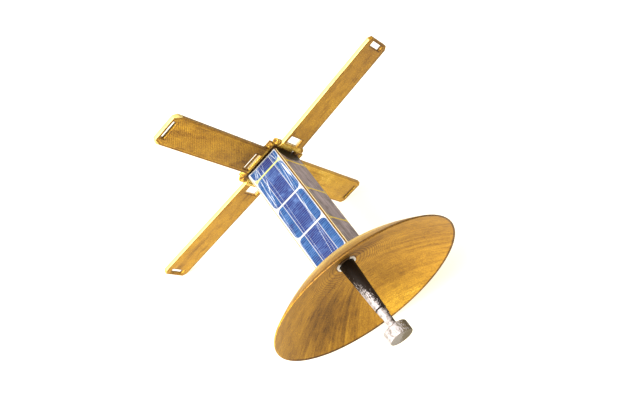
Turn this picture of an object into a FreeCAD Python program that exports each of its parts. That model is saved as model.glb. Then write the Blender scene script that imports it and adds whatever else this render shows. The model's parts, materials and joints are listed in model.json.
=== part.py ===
import FreeCAD, Part
import math
import os

import Sketcher
from FreeCAD import Placement, Rotation, Vector

# A small printed display model of a three-unit satellite, one tenth of full size: a square body
# with printed solar-cell cards on its sides, a dish with its feed on the front end, and four
# slotted paddles hinged round the rear end.
#
# Millimetres and degrees. Every piece is built in the model's own frame, whose +Z runs along the
# body from its rear end face (Z = 0) to the dish. What a side carries is built on the +X side and
# turned about Z. The whole model is then tipped and lifted to the way it comes to rest on a
# table: on a tip corner of each of its two lower paddles and on the edge of its dish.

# Driving sizes: name, value, meaning.
SIZES = (
    ("body_width", 10.0, "side of the square body"),
    ("body_length", 32.05, "rear end face to the seat of the dish"),
    ("body_bevel", 0.25, "bevel on the body's long edges"),
    ("card_margin", 0.25, "body's long edge to the card's edge"),
    ("card_rear_gap", 0.2, "body's rear end to the card's rear edge"),
    ("card_front_gap", 0.3, "card's front edge to the seat of the dish"),
    ("card_thickness", 0.2, "printed card"),
    ("hinge_drop", 0.6, "rear end face back to the pins' axes"),
    ("pin_radius", 0.35, "hinge pin"),
    ("pin_seat", 0.02, "radial clearance of a pin in its ears"),
    ("pin_running", 0.06, "radial clearance of a pin in a paddle's barrel"),
    ("ear_radius", 0.95, "round end of an ear"),
    ("ear_width", 1.5, "ear, along the pin"),
    ("ear_gap", 0.2, "side of a paddle's barrel to the ear beside it"),
    ("plate_proud", 0.15, "rear plate's face behind the ears"),
    ("plate_bevel", 0.3, "bevel on the rear plate's corners"),
    ("fold_gap", 0.2, "card to a paddle folded over it"),
    ("tip_reach", 1.35, "paddle's length beyond the body's, measured from its rear end face"),
    ("paddle_inset", 0.85, "edge of the body's side to the edge of its paddle"),
    ("paddle_thickness", 1.0, "paddle's blade"),
    ("paddle_lift", 0.1, "pin's axis to the blade's rear face"),
    ("barrel_radius", 0.85, "barrel round the pin"),
    ("corner_length", 2.0, "cut corner at the tip, along the blade"),
    ("corner_width", 0.9, "cut corner at the tip, across the blade"),
    ("root_corner", 0.5, "cut corner beside the barrel"),
    ("slot_rail", 1.65, "blade's strip on each side of the slot at the tip"),
    ("root_rail", 2.35, "blade's strip on the wide side of the slot beside the hinge"),
    ("root_shift", 0.6, "the same slot's middle from the blade's middle"),
    ("root_bar", 0.05, "barrel's outer side to the slot beside it"),
    ("root_slot", 2.1, "slot beside the hinge, along the blade"),
    ("tip_bar", 0.6, "slot at the tip to the tip"),
    ("tip_slot", 1.6, "slot at the tip, along the blade"),
    ("heel_height", 0.55, "heel that stops an open paddle against the rear plate"),
    ("heel_gap", 0.03, "heel to the rear plate with the paddle open"),
    ("open_upper_left", 93.1, "paddle's angle to its side of the body at rest"),
    ("open_upper_right", 91.5, "paddle's angle to its side of the body at rest"),
    ("open_lower_right", 90.0, "paddle's angle to its side of the body at rest"),
    ("open_lower_left", 90.0, "paddle's angle to its side of the body at rest"),
    ("dish_radius", 24.9, "dish, axis to rim"),
    ("dish_focal_length", 17.4, "vertex to focus of the dish's inner face"),
    ("dish_thickness", 1.0, "dish's wall, along the axis"),
    ("seat_margin", 0.2, "body's side to the side of the dish's square seat"),
    ("seat_rise", 0.1, "seat's face behind the vertex of the dish's outer face"),
    ("recess_depth", 0.2, "flat recess round the feed, below the inner face's vertex"),
    ("recess_gap", 0.2, "collar to the wall of the recess"),
    ("mast_foot_radius", 1.95, "feed mast at the dish"),
    ("mast_foot_rise", 0.4, "straight foot of the mast, above the dish's vertex"),
    ("mast_seat", 0.02, "radial clearance of the mast in the dish"),
    ("mast_rise", 13.85, "head of the mast above the dish's vertex"),
    ("mast_wall", 0.23, "wall round the stem's socket at the head of the mast"),
    ("collar_wall", 0.6, "ring round the foot of the mast"),
    ("collar_height", 0.55, "the same ring's height"),
    ("ferrule_lip", 0.08, "ferrule's edge outside the head of the mast"),
    ("ferrule_length", 0.35, "ferrule, along the axis"),
    ("stem_radius", 1.05, "stem of the feed"),
    ("stem_step", 0.15, "stem's stout foot outside the rest of it"),
    ("stem_foot_length", 1.5, "stem's stout foot, along the axis"),
    ("socket_depth", 1.2, "stem's ends in the mast and in the cap"),
    ("socket_seat", 0.02, "radial clearance of the stem in its sockets"),
    ("cap_radius", 3.05, "round cap of the feed"),
    ("cap_length", 2.95, "cap, along the axis"),
    ("cap_rise", 22.35, "cap's front face above the dish's vertex"),
    ("cap_bevel", 0.2, "bevel round the cap's two edges"),
)

# What follows from the driving sizes: name, formula, meaning.
FITS = (
    ("body_half", "body_width / 2", "body's axis to its side"),
    ("card_half", "body_half - card_margin", "middle of a card to its long edge"),
    ("card_length", "body_length - card_rear_gap - card_front_gap", "card, along the body"),
    ("blade_front", "paddle_lift + paddle_thickness", "pin's axis to the blade's front face"),
    ("hinge_reach", "body_half + card_thickness + fold_gap + blade_front", "axis to a pin"),
    ("blade_half", "body_half - paddle_inset", "middle of a blade to its long edge"),
    ("blade_length", "body_length + hinge_drop + tip_reach", "pin's axis to the tip"),
    ("root_half", "blade_half - root_corner", "blade's half width at its cut root"),
    ("slot_half", "blade_half - slot_rail", "middle of the slot at the tip to its end"),
    ("root_slot_half", "blade_half - root_rail + root_shift", "the same for the slot beside the hinge"),
    ("root_slot_start", "barrel_radius + root_bar", "pin's axis to the slot beside it"),
    ("root_slot_end", "root_slot_start + root_slot", "the same slot's outer edge"),
    ("tip_slot_end", "blade_length - tip_bar", "pin's axis to the tip slot's outer edge"),
    ("tip_slot_start", "tip_slot_end - tip_slot", "the same slot's inner edge"),
    ("heel_length", "hinge_reach - body_half - heel_gap", "heel, from the pin's axis inward"),
    ("ear_start", "blade_half + ear_gap", "middle of a side to an ear's inner face"),
    ("ear_end", "ear_start + ear_width", "middle of a side to an ear's outer face"),
    ("arm_length", "hinge_reach - ear_start", "ear's arm, from the neighbouring ear's face"),
    ("arm_thickness", "2 * hinge_drop", "ear's arm, flush with the rear end face"),
    ("plate_thickness", "hinge_drop + ear_radius + plate_proud", "rear plate"),
    ("seat_half", "body_half - seat_margin", "axis to the side of the dish's seat"),
    ("dish_vertex", "body_length + seat_rise + dish_thickness", "height of the inner vertex"),
    ("dish_hole", "mast_foot_radius + mast_seat", "radius of the hole for the mast"),
    ("collar_radius", "dish_hole + collar_wall", "outside of the collar"),
    ("recess_radius", "collar_radius + recess_gap", "flat recess round the feed"),
    ("recess_floor", "dish_vertex - recess_depth", "height of the recess's floor"),
    ("collar_top", "recess_floor + collar_height", "height of the collar's top"),
    ("socket", "stem_radius + socket_seat", "radius of the stem's sockets"),
    ("mast_foot_top", "dish_vertex + mast_foot_rise", "height where the mast starts to taper"),
    ("mast_head", "dish_vertex + mast_rise", "height of the head of the mast"),
    ("mast_head_radius", "socket + mast_wall", "mast at its head"),
    ("ferrule_radius", "mast_head_radius + ferrule_lip", "outside of the ferrule"),
    ("ferrule_top", "mast_head + ferrule_length", "height of the ferrule's top"),
    ("stem_foot_radius", "stem_radius + stem_step", "stem's stout foot"),
    ("stem_foot_top", "ferrule_top + stem_foot_length", "height of the stout foot's top"),
    ("cap_front", "dish_vertex + cap_rise", "height of the cap's front face"),
    ("cap_back", "cap_front - cap_length", "height of the cap's rear face"),
)

# Sides of the body: name, turn about the body's axis.
SIDES = (
    ("upper_left", 0),
    ("upper_right", 90),
    ("lower_right", 180),
    ("lower_left", 270),
)

X_AXIS = Vector(1, 0, 0)
Y_AXIS = Vector(0, 1, 0)
Z_AXIS = Vector(0, 0, 1)
ALONG_Y = Rotation(X_AXIS, -90)  # turns a cylinder's own Z to +Y
UP_THE_SIDE = Rotation(Z_AXIS, Y_AXIS * -1, X_AXIS, "ZYX")  # turns X to +Z and Z to +X
ZERO = "0"

doc = FreeCAD.newDocument("satellite_model")
sizes = doc.addObject("Spreadsheet::Sheet", "Sizes")
fits = doc.addObject("Spreadsheet::Sheet", "Fits")
sheet_of = {name: "Sizes" for name, _, _ in SIZES} | {name: "Fits" for name, _, _ in FITS}


# ---- The sheets ----


def bound(expression, own_sheet=None):
    """An expression in the sizes' names, with each name led to its cell."""
    words = []
    for word in expression.split():
        where = sheet_of.get(word)
        words.append(f"{where}.{word}" if where and where != own_sheet else word)
    return " ".join(words)


def fill_sheets():
    """Put each driving size in a cell as a plain number, and each fit as a formula."""
    for row, (name, value, meaning) in enumerate(SIZES, start=1):
        fill_row(sizes, row, name, str(value), meaning)
    for row, (name, formula, meaning) in enumerate(FITS, start=1):
        fill_row(fits, row, name, "=" + bound(formula, "Fits"), meaning)
    doc.recompute()


def fill_row(sheet, row, name, content, meaning):
    """One row: the name, the cell that has it as an alias, and the meaning."""
    sheet.set(f"A{row}", name)
    sheet.set(f"B{row}", content)
    sheet.set(f"C{row}", meaning)
    sheet.setAlias(f"B{row}", name)


def size(name):
    """A size from its sheet, as a number."""
    return float(doc.getObject(sheet_of[name]).get(name))


# ---- Ways of making a piece ----


def draw_outline(sketch, corners):
    """Draw a closed outline whose corners are pairs of expressions bound to the sheets."""
    count = len(corners)
    first = sketch.GeometryCount
    for index in range(count):
        turn = 2 * math.pi * index / count
        following = 2 * math.pi * (index + 1) / count
        start = Vector(math.cos(turn), math.sin(turn), 0)
        end = Vector(math.cos(following), math.sin(following), 0)
        sketch.addGeometry(Part.LineSegment(start, end), False)
    for index in range(count):
        following = first + (index + 1) % count
        sketch.addConstraint(Sketcher.Constraint("Coincident", first + index, 2, following, 1))
    for index, corner in enumerate(corners):
        for kind, expression in zip(("DistanceX", "DistanceY"), corner):
            constraint = Sketcher.Constraint(kind, -1, 1, first + index, 1, 1.0)
            place = sketch.addConstraint(constraint)
            sketch.setExpression(f"Constraints[{place}]", bound(expression))


def start_body(name, plane, outlines):
    """A body with one sketch of closed outlines on one of its own origin planes."""
    body = doc.addObject("PartDesign::Body", name)
    sketch = body.newObject("Sketcher::SketchObject", f"{name}_sketch")
    support = next(item for item in body.Origin.OriginFeatures if item.Role == plane)
    sketch.AttachmentSupport = [(support, "")]
    sketch.MapMode = "FlatFace"
    for outline in outlines:
        draw_outline(sketch, outline)
    return body, sketch


def padded_body(name, outlines, length):
    """A body padded up from its XY plane. Outlines inside the first are holes."""
    body, sketch = start_body(name, "XY_Plane", outlines)
    pad = body.newObject("PartDesign::Pad", f"{name}_pad")
    pad.Profile = sketch
    pad.setExpression("Length", bound(length))
    return body


def turned_body(name, profile):
    """A body turned about Z from a profile of (radius, height) corners."""
    body, sketch = start_body(name, "XZ_Plane", [profile])
    turned = body.newObject("PartDesign::Revolution", f"{name}_turned")
    turned.Profile = sketch
    turned.ReferenceAxis = (sketch, ["V_Axis"])
    turned.Angle = 360.0
    return body


def cylinder(name, radius, length):
    """A cylinder along its own Z."""
    part = doc.addObject("Part::Cylinder", name)
    part.setExpression("Radius", bound(radius))
    part.setExpression("Height", bound(length))
    return part


def box(name, length, width, height):
    """A box from its own corner."""
    part = doc.addObject("Part::Box", name)
    part.setExpression("Length", bound(length))
    part.setExpression("Width", bound(width))
    part.setExpression("Height", bound(height))
    return part


def joined(name, parts):
    """One solid from several that meet."""
    fuse = doc.addObject("Part::MultiFuse", name)
    fuse.Shapes = parts
    fuse.Refine = True
    return fuse


def cut(name, base, tool):
    """A solid with another taken out of it."""
    result = doc.addObject("Part::Cut", name)
    result.Base = base
    result.Tool = tool
    result.Refine = True
    return result


def rectangle(low_x, high_x, low_y, high_y):
    """The corners of a rectangle."""
    return ((low_x, low_y), (high_x, low_y), (high_x, high_y), (low_x, high_y))


def bevelled_square(half, bevel):
    """The corners of a centred square with bevelled corners."""
    short = f"( {half} - {bevel} )"
    quarter = ((half, short), (short, half))
    back = quarter[::-1]
    corners = list(quarter)
    corners += [(f"-1 * {x}", y) for x, y in back]
    corners += [(f"-1 * {x}", f"-1 * {y}") for x, y in quarter]
    corners += [(x, f"-1 * {y}") for x, y in back]
    return corners


def on_side(turn, base, rotation=None):
    """The place of a piece drawn for the +X side, on the side turned about Z."""
    local = Placement(base, rotation or Rotation())
    return Placement(Vector(), Rotation(Z_AXIS, turn)).multiply(local)


# ---- The body and its cards ----


def make_body_core():
    """The square body, one closed block."""
    return padded_body("body_core", [bevelled_square("body_half", "body_bevel")], "body_length")


def make_solar_card(side):
    """A printed card, drawn flat: X along the body, Y across the side."""
    outline = rectangle(ZERO, "card_length", "-1 * card_half", "card_half")
    return padded_body(f"solar_card_{side}", [outline], "card_thickness")


# ---- The hinges and paddles ----


def make_hinge_frame():
    """The rear plate with two ears on each side, bored for the pins."""
    outline = bevelled_square("body_half", "plate_bevel")
    plate = padded_body("rear_plate", [outline], "plate_thickness")
    plate.Placement.Base = Vector(0, 0, -size("plate_thickness"))
    pieces = [plate]
    bores = []
    for side, turn in SIDES:
        for end, start in (("near", -size("ear_end")), ("far", size("ear_start"))):
            knuckle = cylinder(f"ear_round_{side}_{end}", "ear_radius", "ear_width")
            knuckle_start = Vector(size("hinge_reach"), start, -size("hinge_drop"))
            knuckle.Placement = on_side(turn, knuckle_start, ALONG_Y)
            arm = box(f"ear_arm_{side}_{end}", "arm_length", "ear_width", "arm_thickness")
            arm_start = Vector(size("ear_start"), start, -size("arm_thickness"))
            arm.Placement = on_side(turn, arm_start)
            pieces += [knuckle, arm]
        bore = cylinder(f"ear_bore_{side}", "pin_radius + pin_seat", "2 * ear_end")
        bore_start = Vector(size("hinge_reach"), -size("ear_end"), -size("hinge_drop"))
        bore.Placement = on_side(turn, bore_start, ALONG_Y)
        bores.append(bore)
    return cut("hinge_frame", joined("hinge_frame_solid", pieces), joined("ear_bores", bores))


def make_hinge_pin(side):
    """A pin from the outer face of one ear to that of the other."""
    return cylinder(f"hinge_pin_{side}", "pin_radius", "2 * ear_end")


def make_paddle(side):
    """A paddle, drawn from its pin's axis: X outward, Z towards the dish."""
    upper = (
        (ZERO, "root_half"),
        ("root_corner", "blade_half"),
        ("blade_length - corner_length", "blade_half"),
        ("blade_length", "( blade_half - corner_width )"),
    )
    lower = tuple((x, f"-1 * {y}") for x, y in upper[::-1])
    root_low, root_high = "root_shift - root_slot_half", "root_shift + root_slot_half"
    slots = [
        rectangle("root_slot_start", "root_slot_end", root_low, root_high),
        rectangle("tip_slot_start", "tip_slot_end", "-1 * slot_half", "slot_half"),
    ]
    blade = padded_body(f"blade_{side}", [upper + lower] + slots, "paddle_thickness")
    lean = Placement(Vector(), Rotation(Y_AXIS, size(f"open_{side}") - 90))
    lift = Placement(Vector(0, 0, size("paddle_lift")), Rotation())
    blade.Placement = lean.multiply(lift)
    barrel = cylinder(f"barrel_{side}", "barrel_radius", "2 * blade_half")
    bore = cylinder(f"barrel_bore_{side}", "pin_radius + pin_running", "2 * blade_half")
    for part in (barrel, bore):
        part.Placement = Placement(Vector(0, -size("blade_half"), 0), ALONG_Y)
    heel = box(f"heel_{side}", "heel_length", "2 * root_half", "heel_height")
    heel.Placement.Base = Vector(-size("heel_length"), -size("root_half"), -size("barrel_radius"))
    solid = joined(f"paddle_solid_{side}", [blade, barrel, heel])
    return cut(f"paddle_{side}", solid, bore)


# ---- The dish ----


def dish_height(radius):
    """Height of the dish's inner face at a radius: a parabola with its vertex on the axis."""
    return size("dish_vertex") + radius**2 / (4 * size("dish_focal_length"))


def dish_arc(lift):
    """An arc through three points of the parabola, from the mast's hole to the rim."""
    hole = size("dish_hole")
    rim = size("dish_radius")
    stations = (hole, (hole + rim) / 2, rim)
    points = [Vector(radius, 0, dish_height(radius) + lift) for radius in stations]
    return Part.Arc(*points).toShape()


def make_dish():
    """The dish: a wall of one thickness, a square seat behind and a flat recess for the feed."""
    thickness = size("dish_thickness")
    inner = dish_arc(0)
    outer = dish_arc(-thickness)
    mouth = Part.makeLine(inner.firstVertex().Point, outer.firstVertex().Point)
    rim = Part.makeLine(inner.lastVertex().Point, outer.lastVertex().Point)
    profile = Part.Wire(Part.__sortEdges__([inner, rim, outer, mouth]))
    wall = Part.Face(profile).revolve(Vector(), Z_AXIS, 360)
    half = size("seat_half")
    seat_corner = Vector(-half, -half, size("body_length"))
    seat = Part.makeBox(2 * half, 2 * half, size("seat_rise") + 0.7 * thickness, seat_corner)
    recess_floor = Vector(0, 0, size("recess_floor"))
    recess = Part.makeCylinder(size("recess_radius"), thickness, recess_floor)
    hole_start = Vector(0, 0, size("body_length") - thickness)
    hole = Part.makeCylinder(size("dish_hole"), 4 * thickness, hole_start)
    dish = doc.addObject("Part::Feature", "dish")
    dish.Shape = wall.fuse(seat).cut(recess).cut(hole)
    return dish


# ---- The feed ----


def make_feed_collar():
    """The ring round the foot of the mast."""
    return turned_body("feed_collar", rectangle("dish_hole", "collar_radius", "recess_floor", "collar_top"))


def make_feed_mast():
    """The tapered mast, standing on the body's end, with a socket in its head."""
    profile = (
        (ZERO, "body_length"),
        ("mast_foot_radius", "body_length"),
        ("mast_foot_radius", "mast_foot_top"),
        ("mast_head_radius", "mast_head"),
        ("socket", "mast_head"),
        ("socket", "mast_head - socket_depth"),
        (ZERO, "mast_head - socket_depth"),
    )
    return turned_body("feed_mast", profile)


def make_feed_ferrule():
    """The thin ring on the mast's head."""
    return turned_body("feed_ferrule", rectangle("socket", "ferrule_radius", "mast_head", "ferrule_top"))


def make_feed_stem():
    """The stem, stout above the ferrule, with its ends in the mast and the cap."""
    profile = (
        (ZERO, "mast_head - socket_depth"),
        ("stem_radius", "mast_head - socket_depth"),
        ("stem_radius", "ferrule_top"),
        ("stem_foot_radius", "ferrule_top"),
        ("stem_foot_radius", "stem_foot_top"),
        ("stem_radius", "stem_foot_top + stem_step"),
        ("stem_radius", "cap_back + socket_depth"),
        (ZERO, "cap_back + socket_depth"),
    )
    return turned_body("feed_stem", profile)


def make_feed_cap():
    """The round cap at the end of the stem."""
    profile = (
        (ZERO, "cap_back + socket_depth"),
        ("socket", "cap_back + socket_depth"),
        ("socket", "cap_back"),
        ("cap_radius - cap_bevel", "cap_back"),
        ("cap_radius", "cap_back + cap_bevel"),
        ("cap_radius", "cap_front - cap_bevel"),
        ("cap_radius - cap_bevel", "cap_front"),
        (ZERO, "cap_front"),
    )
    return turned_body("feed_cap", profile)


# ---- The whole model ----


def make_pieces():
    """Make every piece. Returns {name: (object, its place in the model's frame)}."""
    hinge = Vector(size("hinge_reach"), 0, -size("hinge_drop"))
    pin_start = hinge - Vector(0, size("ear_end"), 0)
    card_start = Vector(size("body_half"), 0, size("card_rear_gap"))
    placed = [(make_body_core(), Placement()), (make_hinge_frame(), Placement())]
    for side, turn in SIDES:
        placed.append((make_solar_card(side), on_side(turn, card_start, UP_THE_SIDE)))
        placed.append((make_hinge_pin(side), on_side(turn, pin_start, ALONG_Y)))
        placed.append((make_paddle(side), on_side(turn, hinge)))
    placed.append((make_dish(), Placement()))
    for make in (make_feed_collar, make_feed_mast, make_feed_ferrule, make_feed_stem, make_feed_cap):
        placed.append((make(), Placement()))
    doc.recompute()
    return {piece.Name: (piece, place) for piece, place in placed}


def lower_tip_corner():
    """The front corner of a lower paddle's tip that meets the table, seen as on the +X side."""
    corner = Vector(size("blade_length"), 0, size("blade_front"))
    lean = Rotation(Y_AXIS, size("open_lower_left") - 90)
    corner = lean.multVec(corner) + Vector(size("hinge_reach"), 0, -size("hinge_drop"))
    return Vector(corner.x, size("blade_half") - size("corner_width"), corner.z)


def rest_turn():
    """The turn from the model's frame to the way it rests: dish towards +X, two paddles down."""
    corner = lower_tip_corner()
    corner_depth = (corner.x + corner.y) / math.sqrt(2)
    span = dish_height(size("dish_radius")) - corner.z
    tilt = math.atan2(corner_depth - size("dish_radius"), span)
    sideways = math.sqrt(0.5)
    towards_dish = Vector(sideways * math.sin(tilt), sideways * math.sin(tilt), math.cos(tilt))
    up = Vector(sideways * math.cos(tilt), sideways * math.cos(tilt), -math.sin(tilt))
    across = up.cross(towards_dish)
    rows = [component for row in (towards_dish, across, up) for component in (*row, 0)]
    return Placement(FreeCAD.Matrix(*rows, 0, 0, 0, 1))


def set_down(pieces):
    """Place every piece as the model rests, with the origin under the middle of its box."""
    turn = rest_turn()
    for piece, place in pieces.values():
        piece.Placement = turn.multiply(place)
    whole = Part.makeCompound([piece.Shape for piece, _ in pieces.values()])
    bounds = whole.optimalBoundingBox(False, True)
    lift = Placement(Vector(-bounds.Center.x, -bounds.Center.y, -bounds.ZMin), Rotation())
    rest = lift.multiply(turn)
    for piece, place in pieces.values():
        piece.Placement = rest.multiply(place)
    doc.recompute()
    return rest


def check_pieces(pieces):
    """Refuse a document with a failed object, or a piece that isn't one valid solid."""
    for item in doc.Objects:
        if "Invalid" in item.State or "Error" in item.State:
            raise RuntimeError(f"{item.Name} failed: {item.State}")
    for name, (piece, _) in pieces.items():
        if piece.Shape.isNull() or not piece.Shape.isValid():
            raise RuntimeError(f"{name} has no valid shape")
        if len(piece.Shape.Solids) != 1:
            raise RuntimeError(f"{name} has {len(piece.Shape.Solids)} solids")


def export_pieces(pieces):
    """Label each piece and write its shape to a file of its own."""
    os.makedirs("parts", exist_ok=True)
    for name, (piece, _) in pieces.items():
        piece.Label = name
        piece.Shape.exportStep(f"parts/{name}.step")


fill_sheets()
model_pieces = make_pieces()
rest_placement = set_down(model_pieces)
check_pieces(model_pieces)
export_pieces(model_pieces)
print(f"{len(model_pieces)} pieces, at rest {rest_placement}")
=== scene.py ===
import json
import logging
import math
from collections.abc import Callable, Iterator, Sequence
from contextlib import contextmanager
from dataclasses import dataclass
from enum import Enum
from functools import lru_cache, reduce

import bmesh
import bpy
from mathutils import Matrix, Vector


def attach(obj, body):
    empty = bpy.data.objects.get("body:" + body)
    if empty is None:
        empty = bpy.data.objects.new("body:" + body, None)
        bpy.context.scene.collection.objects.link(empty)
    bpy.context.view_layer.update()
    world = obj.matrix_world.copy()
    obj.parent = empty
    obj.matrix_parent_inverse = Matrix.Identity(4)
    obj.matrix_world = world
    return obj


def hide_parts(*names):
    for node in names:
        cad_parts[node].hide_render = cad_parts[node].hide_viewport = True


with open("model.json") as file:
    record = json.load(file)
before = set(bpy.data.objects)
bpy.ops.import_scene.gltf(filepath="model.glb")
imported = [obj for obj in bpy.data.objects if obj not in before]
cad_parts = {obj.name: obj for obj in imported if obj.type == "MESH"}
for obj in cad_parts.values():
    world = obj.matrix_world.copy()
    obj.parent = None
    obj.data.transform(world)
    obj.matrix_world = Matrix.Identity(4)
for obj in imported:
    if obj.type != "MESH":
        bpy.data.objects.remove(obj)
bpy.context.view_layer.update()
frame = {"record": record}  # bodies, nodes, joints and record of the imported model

# The looks of a small printed display model of a satellite: gold paint brushed over the print's
# own lines, printed cards of solar cells, and a feed dry-brushed from black to silver.
#
# Each piece is shaped in millimetres in a frame of its own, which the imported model's mounts and
# joints place in the row frame: +Z of the model's frame runs from the hinges to the dish, and
# +X of a side's frame points out of that side of the body.

LOG = logging.getLogger("satellite_model")
MILLIMETRE = 0.001

Socket = bpy.types.NodeSocket
Source = Socket | float | Sequence[float]
Sockets = bpy.types.NodeInputs | bpy.types.NodeOutputs
Color = tuple[float, float, float, float]
Pair = tuple[float, float]
Triple = tuple[float, float, float]
Slot = tuple[float, float, float, float]

QUARTER_TURN = math.pi / 2
OVERSHOOT = 1.0  # how far a cutting rod stands out past what it cuts, in millimetres
ORIGIN = (0.0, 0.0, 0.0)
UPWARD = (0.0, 0.0, 1.0)

# Gold paint's colours by tone: umber, browns, gold, and straw where it is thickest.
GOLD_TONES = (
    (0.0, (0.020, 0.009, 0.004, 1.0)),
    (0.3, (0.120, 0.054, 0.010, 1.0)),
    (0.55, (0.330, 0.160, 0.017, 1.0)),
    (0.8, (0.580, 0.320, 0.030, 1.0)),
    (0.9, (0.780, 0.480, 0.036, 1.0)),
    (1.0, (0.920, 0.740, 0.200, 1.0)),
)
GOLD_METALLIC = 0.45
GOLD_SPECULAR = 0.3
# Colours painted on as highlights: on the paddles' edges, on the dish's outer face and on the
# slots' walls.
EDGE_HIGHLIGHT_STRAW = (0.92, 0.76, 0.27, 1.0)
DISH_HIGHLIGHT_STRAW = (0.92, 0.78, 0.36, 1.0)
SLOT_HIGHLIGHT_CREAM = (0.90, 0.74, 0.42, 1.0)
# The cards' scratches, a painted shadow on them, and the colour of their edges.
SCRATCH_WHITE = (0.40, 0.44, 0.52, 1.0)
SHADOW_BLACK = (0.012, 0.008, 0.006, 1.0)
CARD_EDGE = (0.52, 0.42, 0.20, 1.0)


class Side(Enum):
    """A side of the square body, named by where it lies as the model rests."""

    UPPER_LEFT = "upper_left"
    UPPER_RIGHT = "upper_right"
    LOWER_RIGHT = "lower_right"
    LOWER_LEFT = "lower_left"


class Cut(Enum):
    """What a piece does with another: take it in, or lose its shape."""

    UNITE = "UNION"
    REMOVE = "DIFFERENCE"


class Axis(Enum):
    """An axis of a piece's own frame."""

    X = 0
    Y = 1
    Z = 2


# ---- Where things are ----


@dataclass(frozen=True)
class ModelFrame:
    """The places of the model's own frames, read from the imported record.

    Attributes:
        record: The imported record.
        plate_thickness: From the hinges' rear face to the origin, in millimetres.
    """

    record: dict
    plate_thickness: float = 1.7

    def mount(self, name: str) -> dict:
        """The mount of that name."""
        return next(mount for mount in self.record["mounts"] if mount["name"] == name)

    def joint(self, side: Side) -> dict:
        """The hinge of the paddle on that side."""
        joints = self.record["behaviour"]["joints"]
        return next(joint for joint in joints if joint["name"] == f"{side.value}_hinge")

    def body_of(self, node: str) -> str:
        """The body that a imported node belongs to."""
        bodies = self.record["behaviour"]["bodies"]
        return next(body for body, nodes in bodies.items() if node in nodes)

    def lean(self, side: Side) -> Matrix:
        """The turn about the pin that leans an open paddle back from square to its side."""
        front = Vector(self.mount(f"tip_slot_{side.value}")["axis"])
        outward, _, to_dish = self.axes(side).to_3x3().transposed()
        return Matrix.Rotation(math.atan2(front.dot(outward), front.dot(to_dish)), 4, "Y")

    def axes(self, side: Side) -> Matrix:
        """A side's axes in the row frame: out of the side, across it, and to the dish.

        Args:
            side: The side of the body.

        Returns:
            A turn with no shift, scaled from millimetres to metres.
        """
        to_dish = Vector(self.mount("feed_cap_rim")["axis"])
        across = -Vector(self.joint(side)["axis"])
        outward = across.cross(to_dish)
        turn = Matrix((outward, across, to_dish)).transposed().to_4x4()
        return turn @ Matrix.Scale(MILLIMETRE, 4)

    def side_place(self, side: Side) -> Matrix:
        """The place of a side's frame, whose origin is the middle of the body's rear end.

        Args:
            side: The side of the body.

        Returns:
            The place in the row frame.
        """
        to_dish = Vector(self.mount("feed_cap_rim")["axis"])
        rear = Vector(self.mount("rear_face")["pos_m"])
        origin = rear + to_dish * self.plate_thickness * MILLIMETRE
        return Matrix.Translation(origin) @ self.axes(side)

    def paddle_place(self, side: Side) -> Matrix:
        """The place of a paddle's frame, whose origin is the middle of its pin."""
        return Matrix.Translation(Vector(self.joint(side)["pos_m"])) @ self.axes(side)


# ---- Tools for shaping a piece ----


@contextmanager
def editing(piece: bpy.types.Object) -> Iterator[None]:
    """Hold a piece in edit mode with nothing selected.

    Args:
        piece: The piece to edit.

    Returns:
        A context that goes back to object mode.
    """
    choose(piece)
    bpy.ops.object.mode_set(mode="EDIT")
    bpy.ops.mesh.select_mode(type="VERT")
    bpy.ops.mesh.select_all(action="DESELECT")
    yield
    bpy.ops.object.mode_set(mode="OBJECT")


def choose(piece: bpy.types.Object) -> None:
    """Select one piece alone and make it active."""
    bpy.ops.object.select_all(action="DESELECT")
    piece.select_set(True)
    bpy.context.view_layer.objects.active = piece


def name_new(name: str) -> bpy.types.Object:
    """Name the piece that was just added, with its place and scale put into its mesh.

    Args:
        name: Its name.

    Returns:
        The piece.
    """
    piece = bpy.context.active_object
    piece.name = name
    piece.data.name = name
    choose(piece)
    bpy.ops.object.transform_apply(location=True, rotation=True, scale=True)
    return piece


def block(name: str, low: Sequence[float], high: Sequence[float]) -> bpy.types.Object:
    """A block between two opposite corners.

    Args:
        name: The block's name.
        low: Its lowest corner.
        high: Its highest corner.

    Returns:
        The block.
    """
    low_corner, high_corner = Vector(low), Vector(high)
    bpy.ops.object.select_all(action="DESELECT")
    middle = (low_corner + high_corner) / 2
    bpy.ops.mesh.primitive_cube_add(size=1, location=middle, scale=high_corner - low_corner)
    return name_new(name)


def rod(name: str, radius: float, half_length: float, vertices: int = 40) -> bpy.types.Object:
    """A round rod along Y, centred on the origin.

    Args:
        name: The rod's name.
        radius: Its radius.
        half_length: Half its length.
        vertices: How many corners its round has.

    Returns:
        The rod.
    """
    bpy.ops.object.select_all(action="DESELECT")
    bpy.ops.mesh.primitive_cylinder_add(
        vertices=vertices, radius=radius, depth=2 * half_length, rotation=(QUARTER_TURN, 0, 0)
    )
    return name_new(name)


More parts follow.
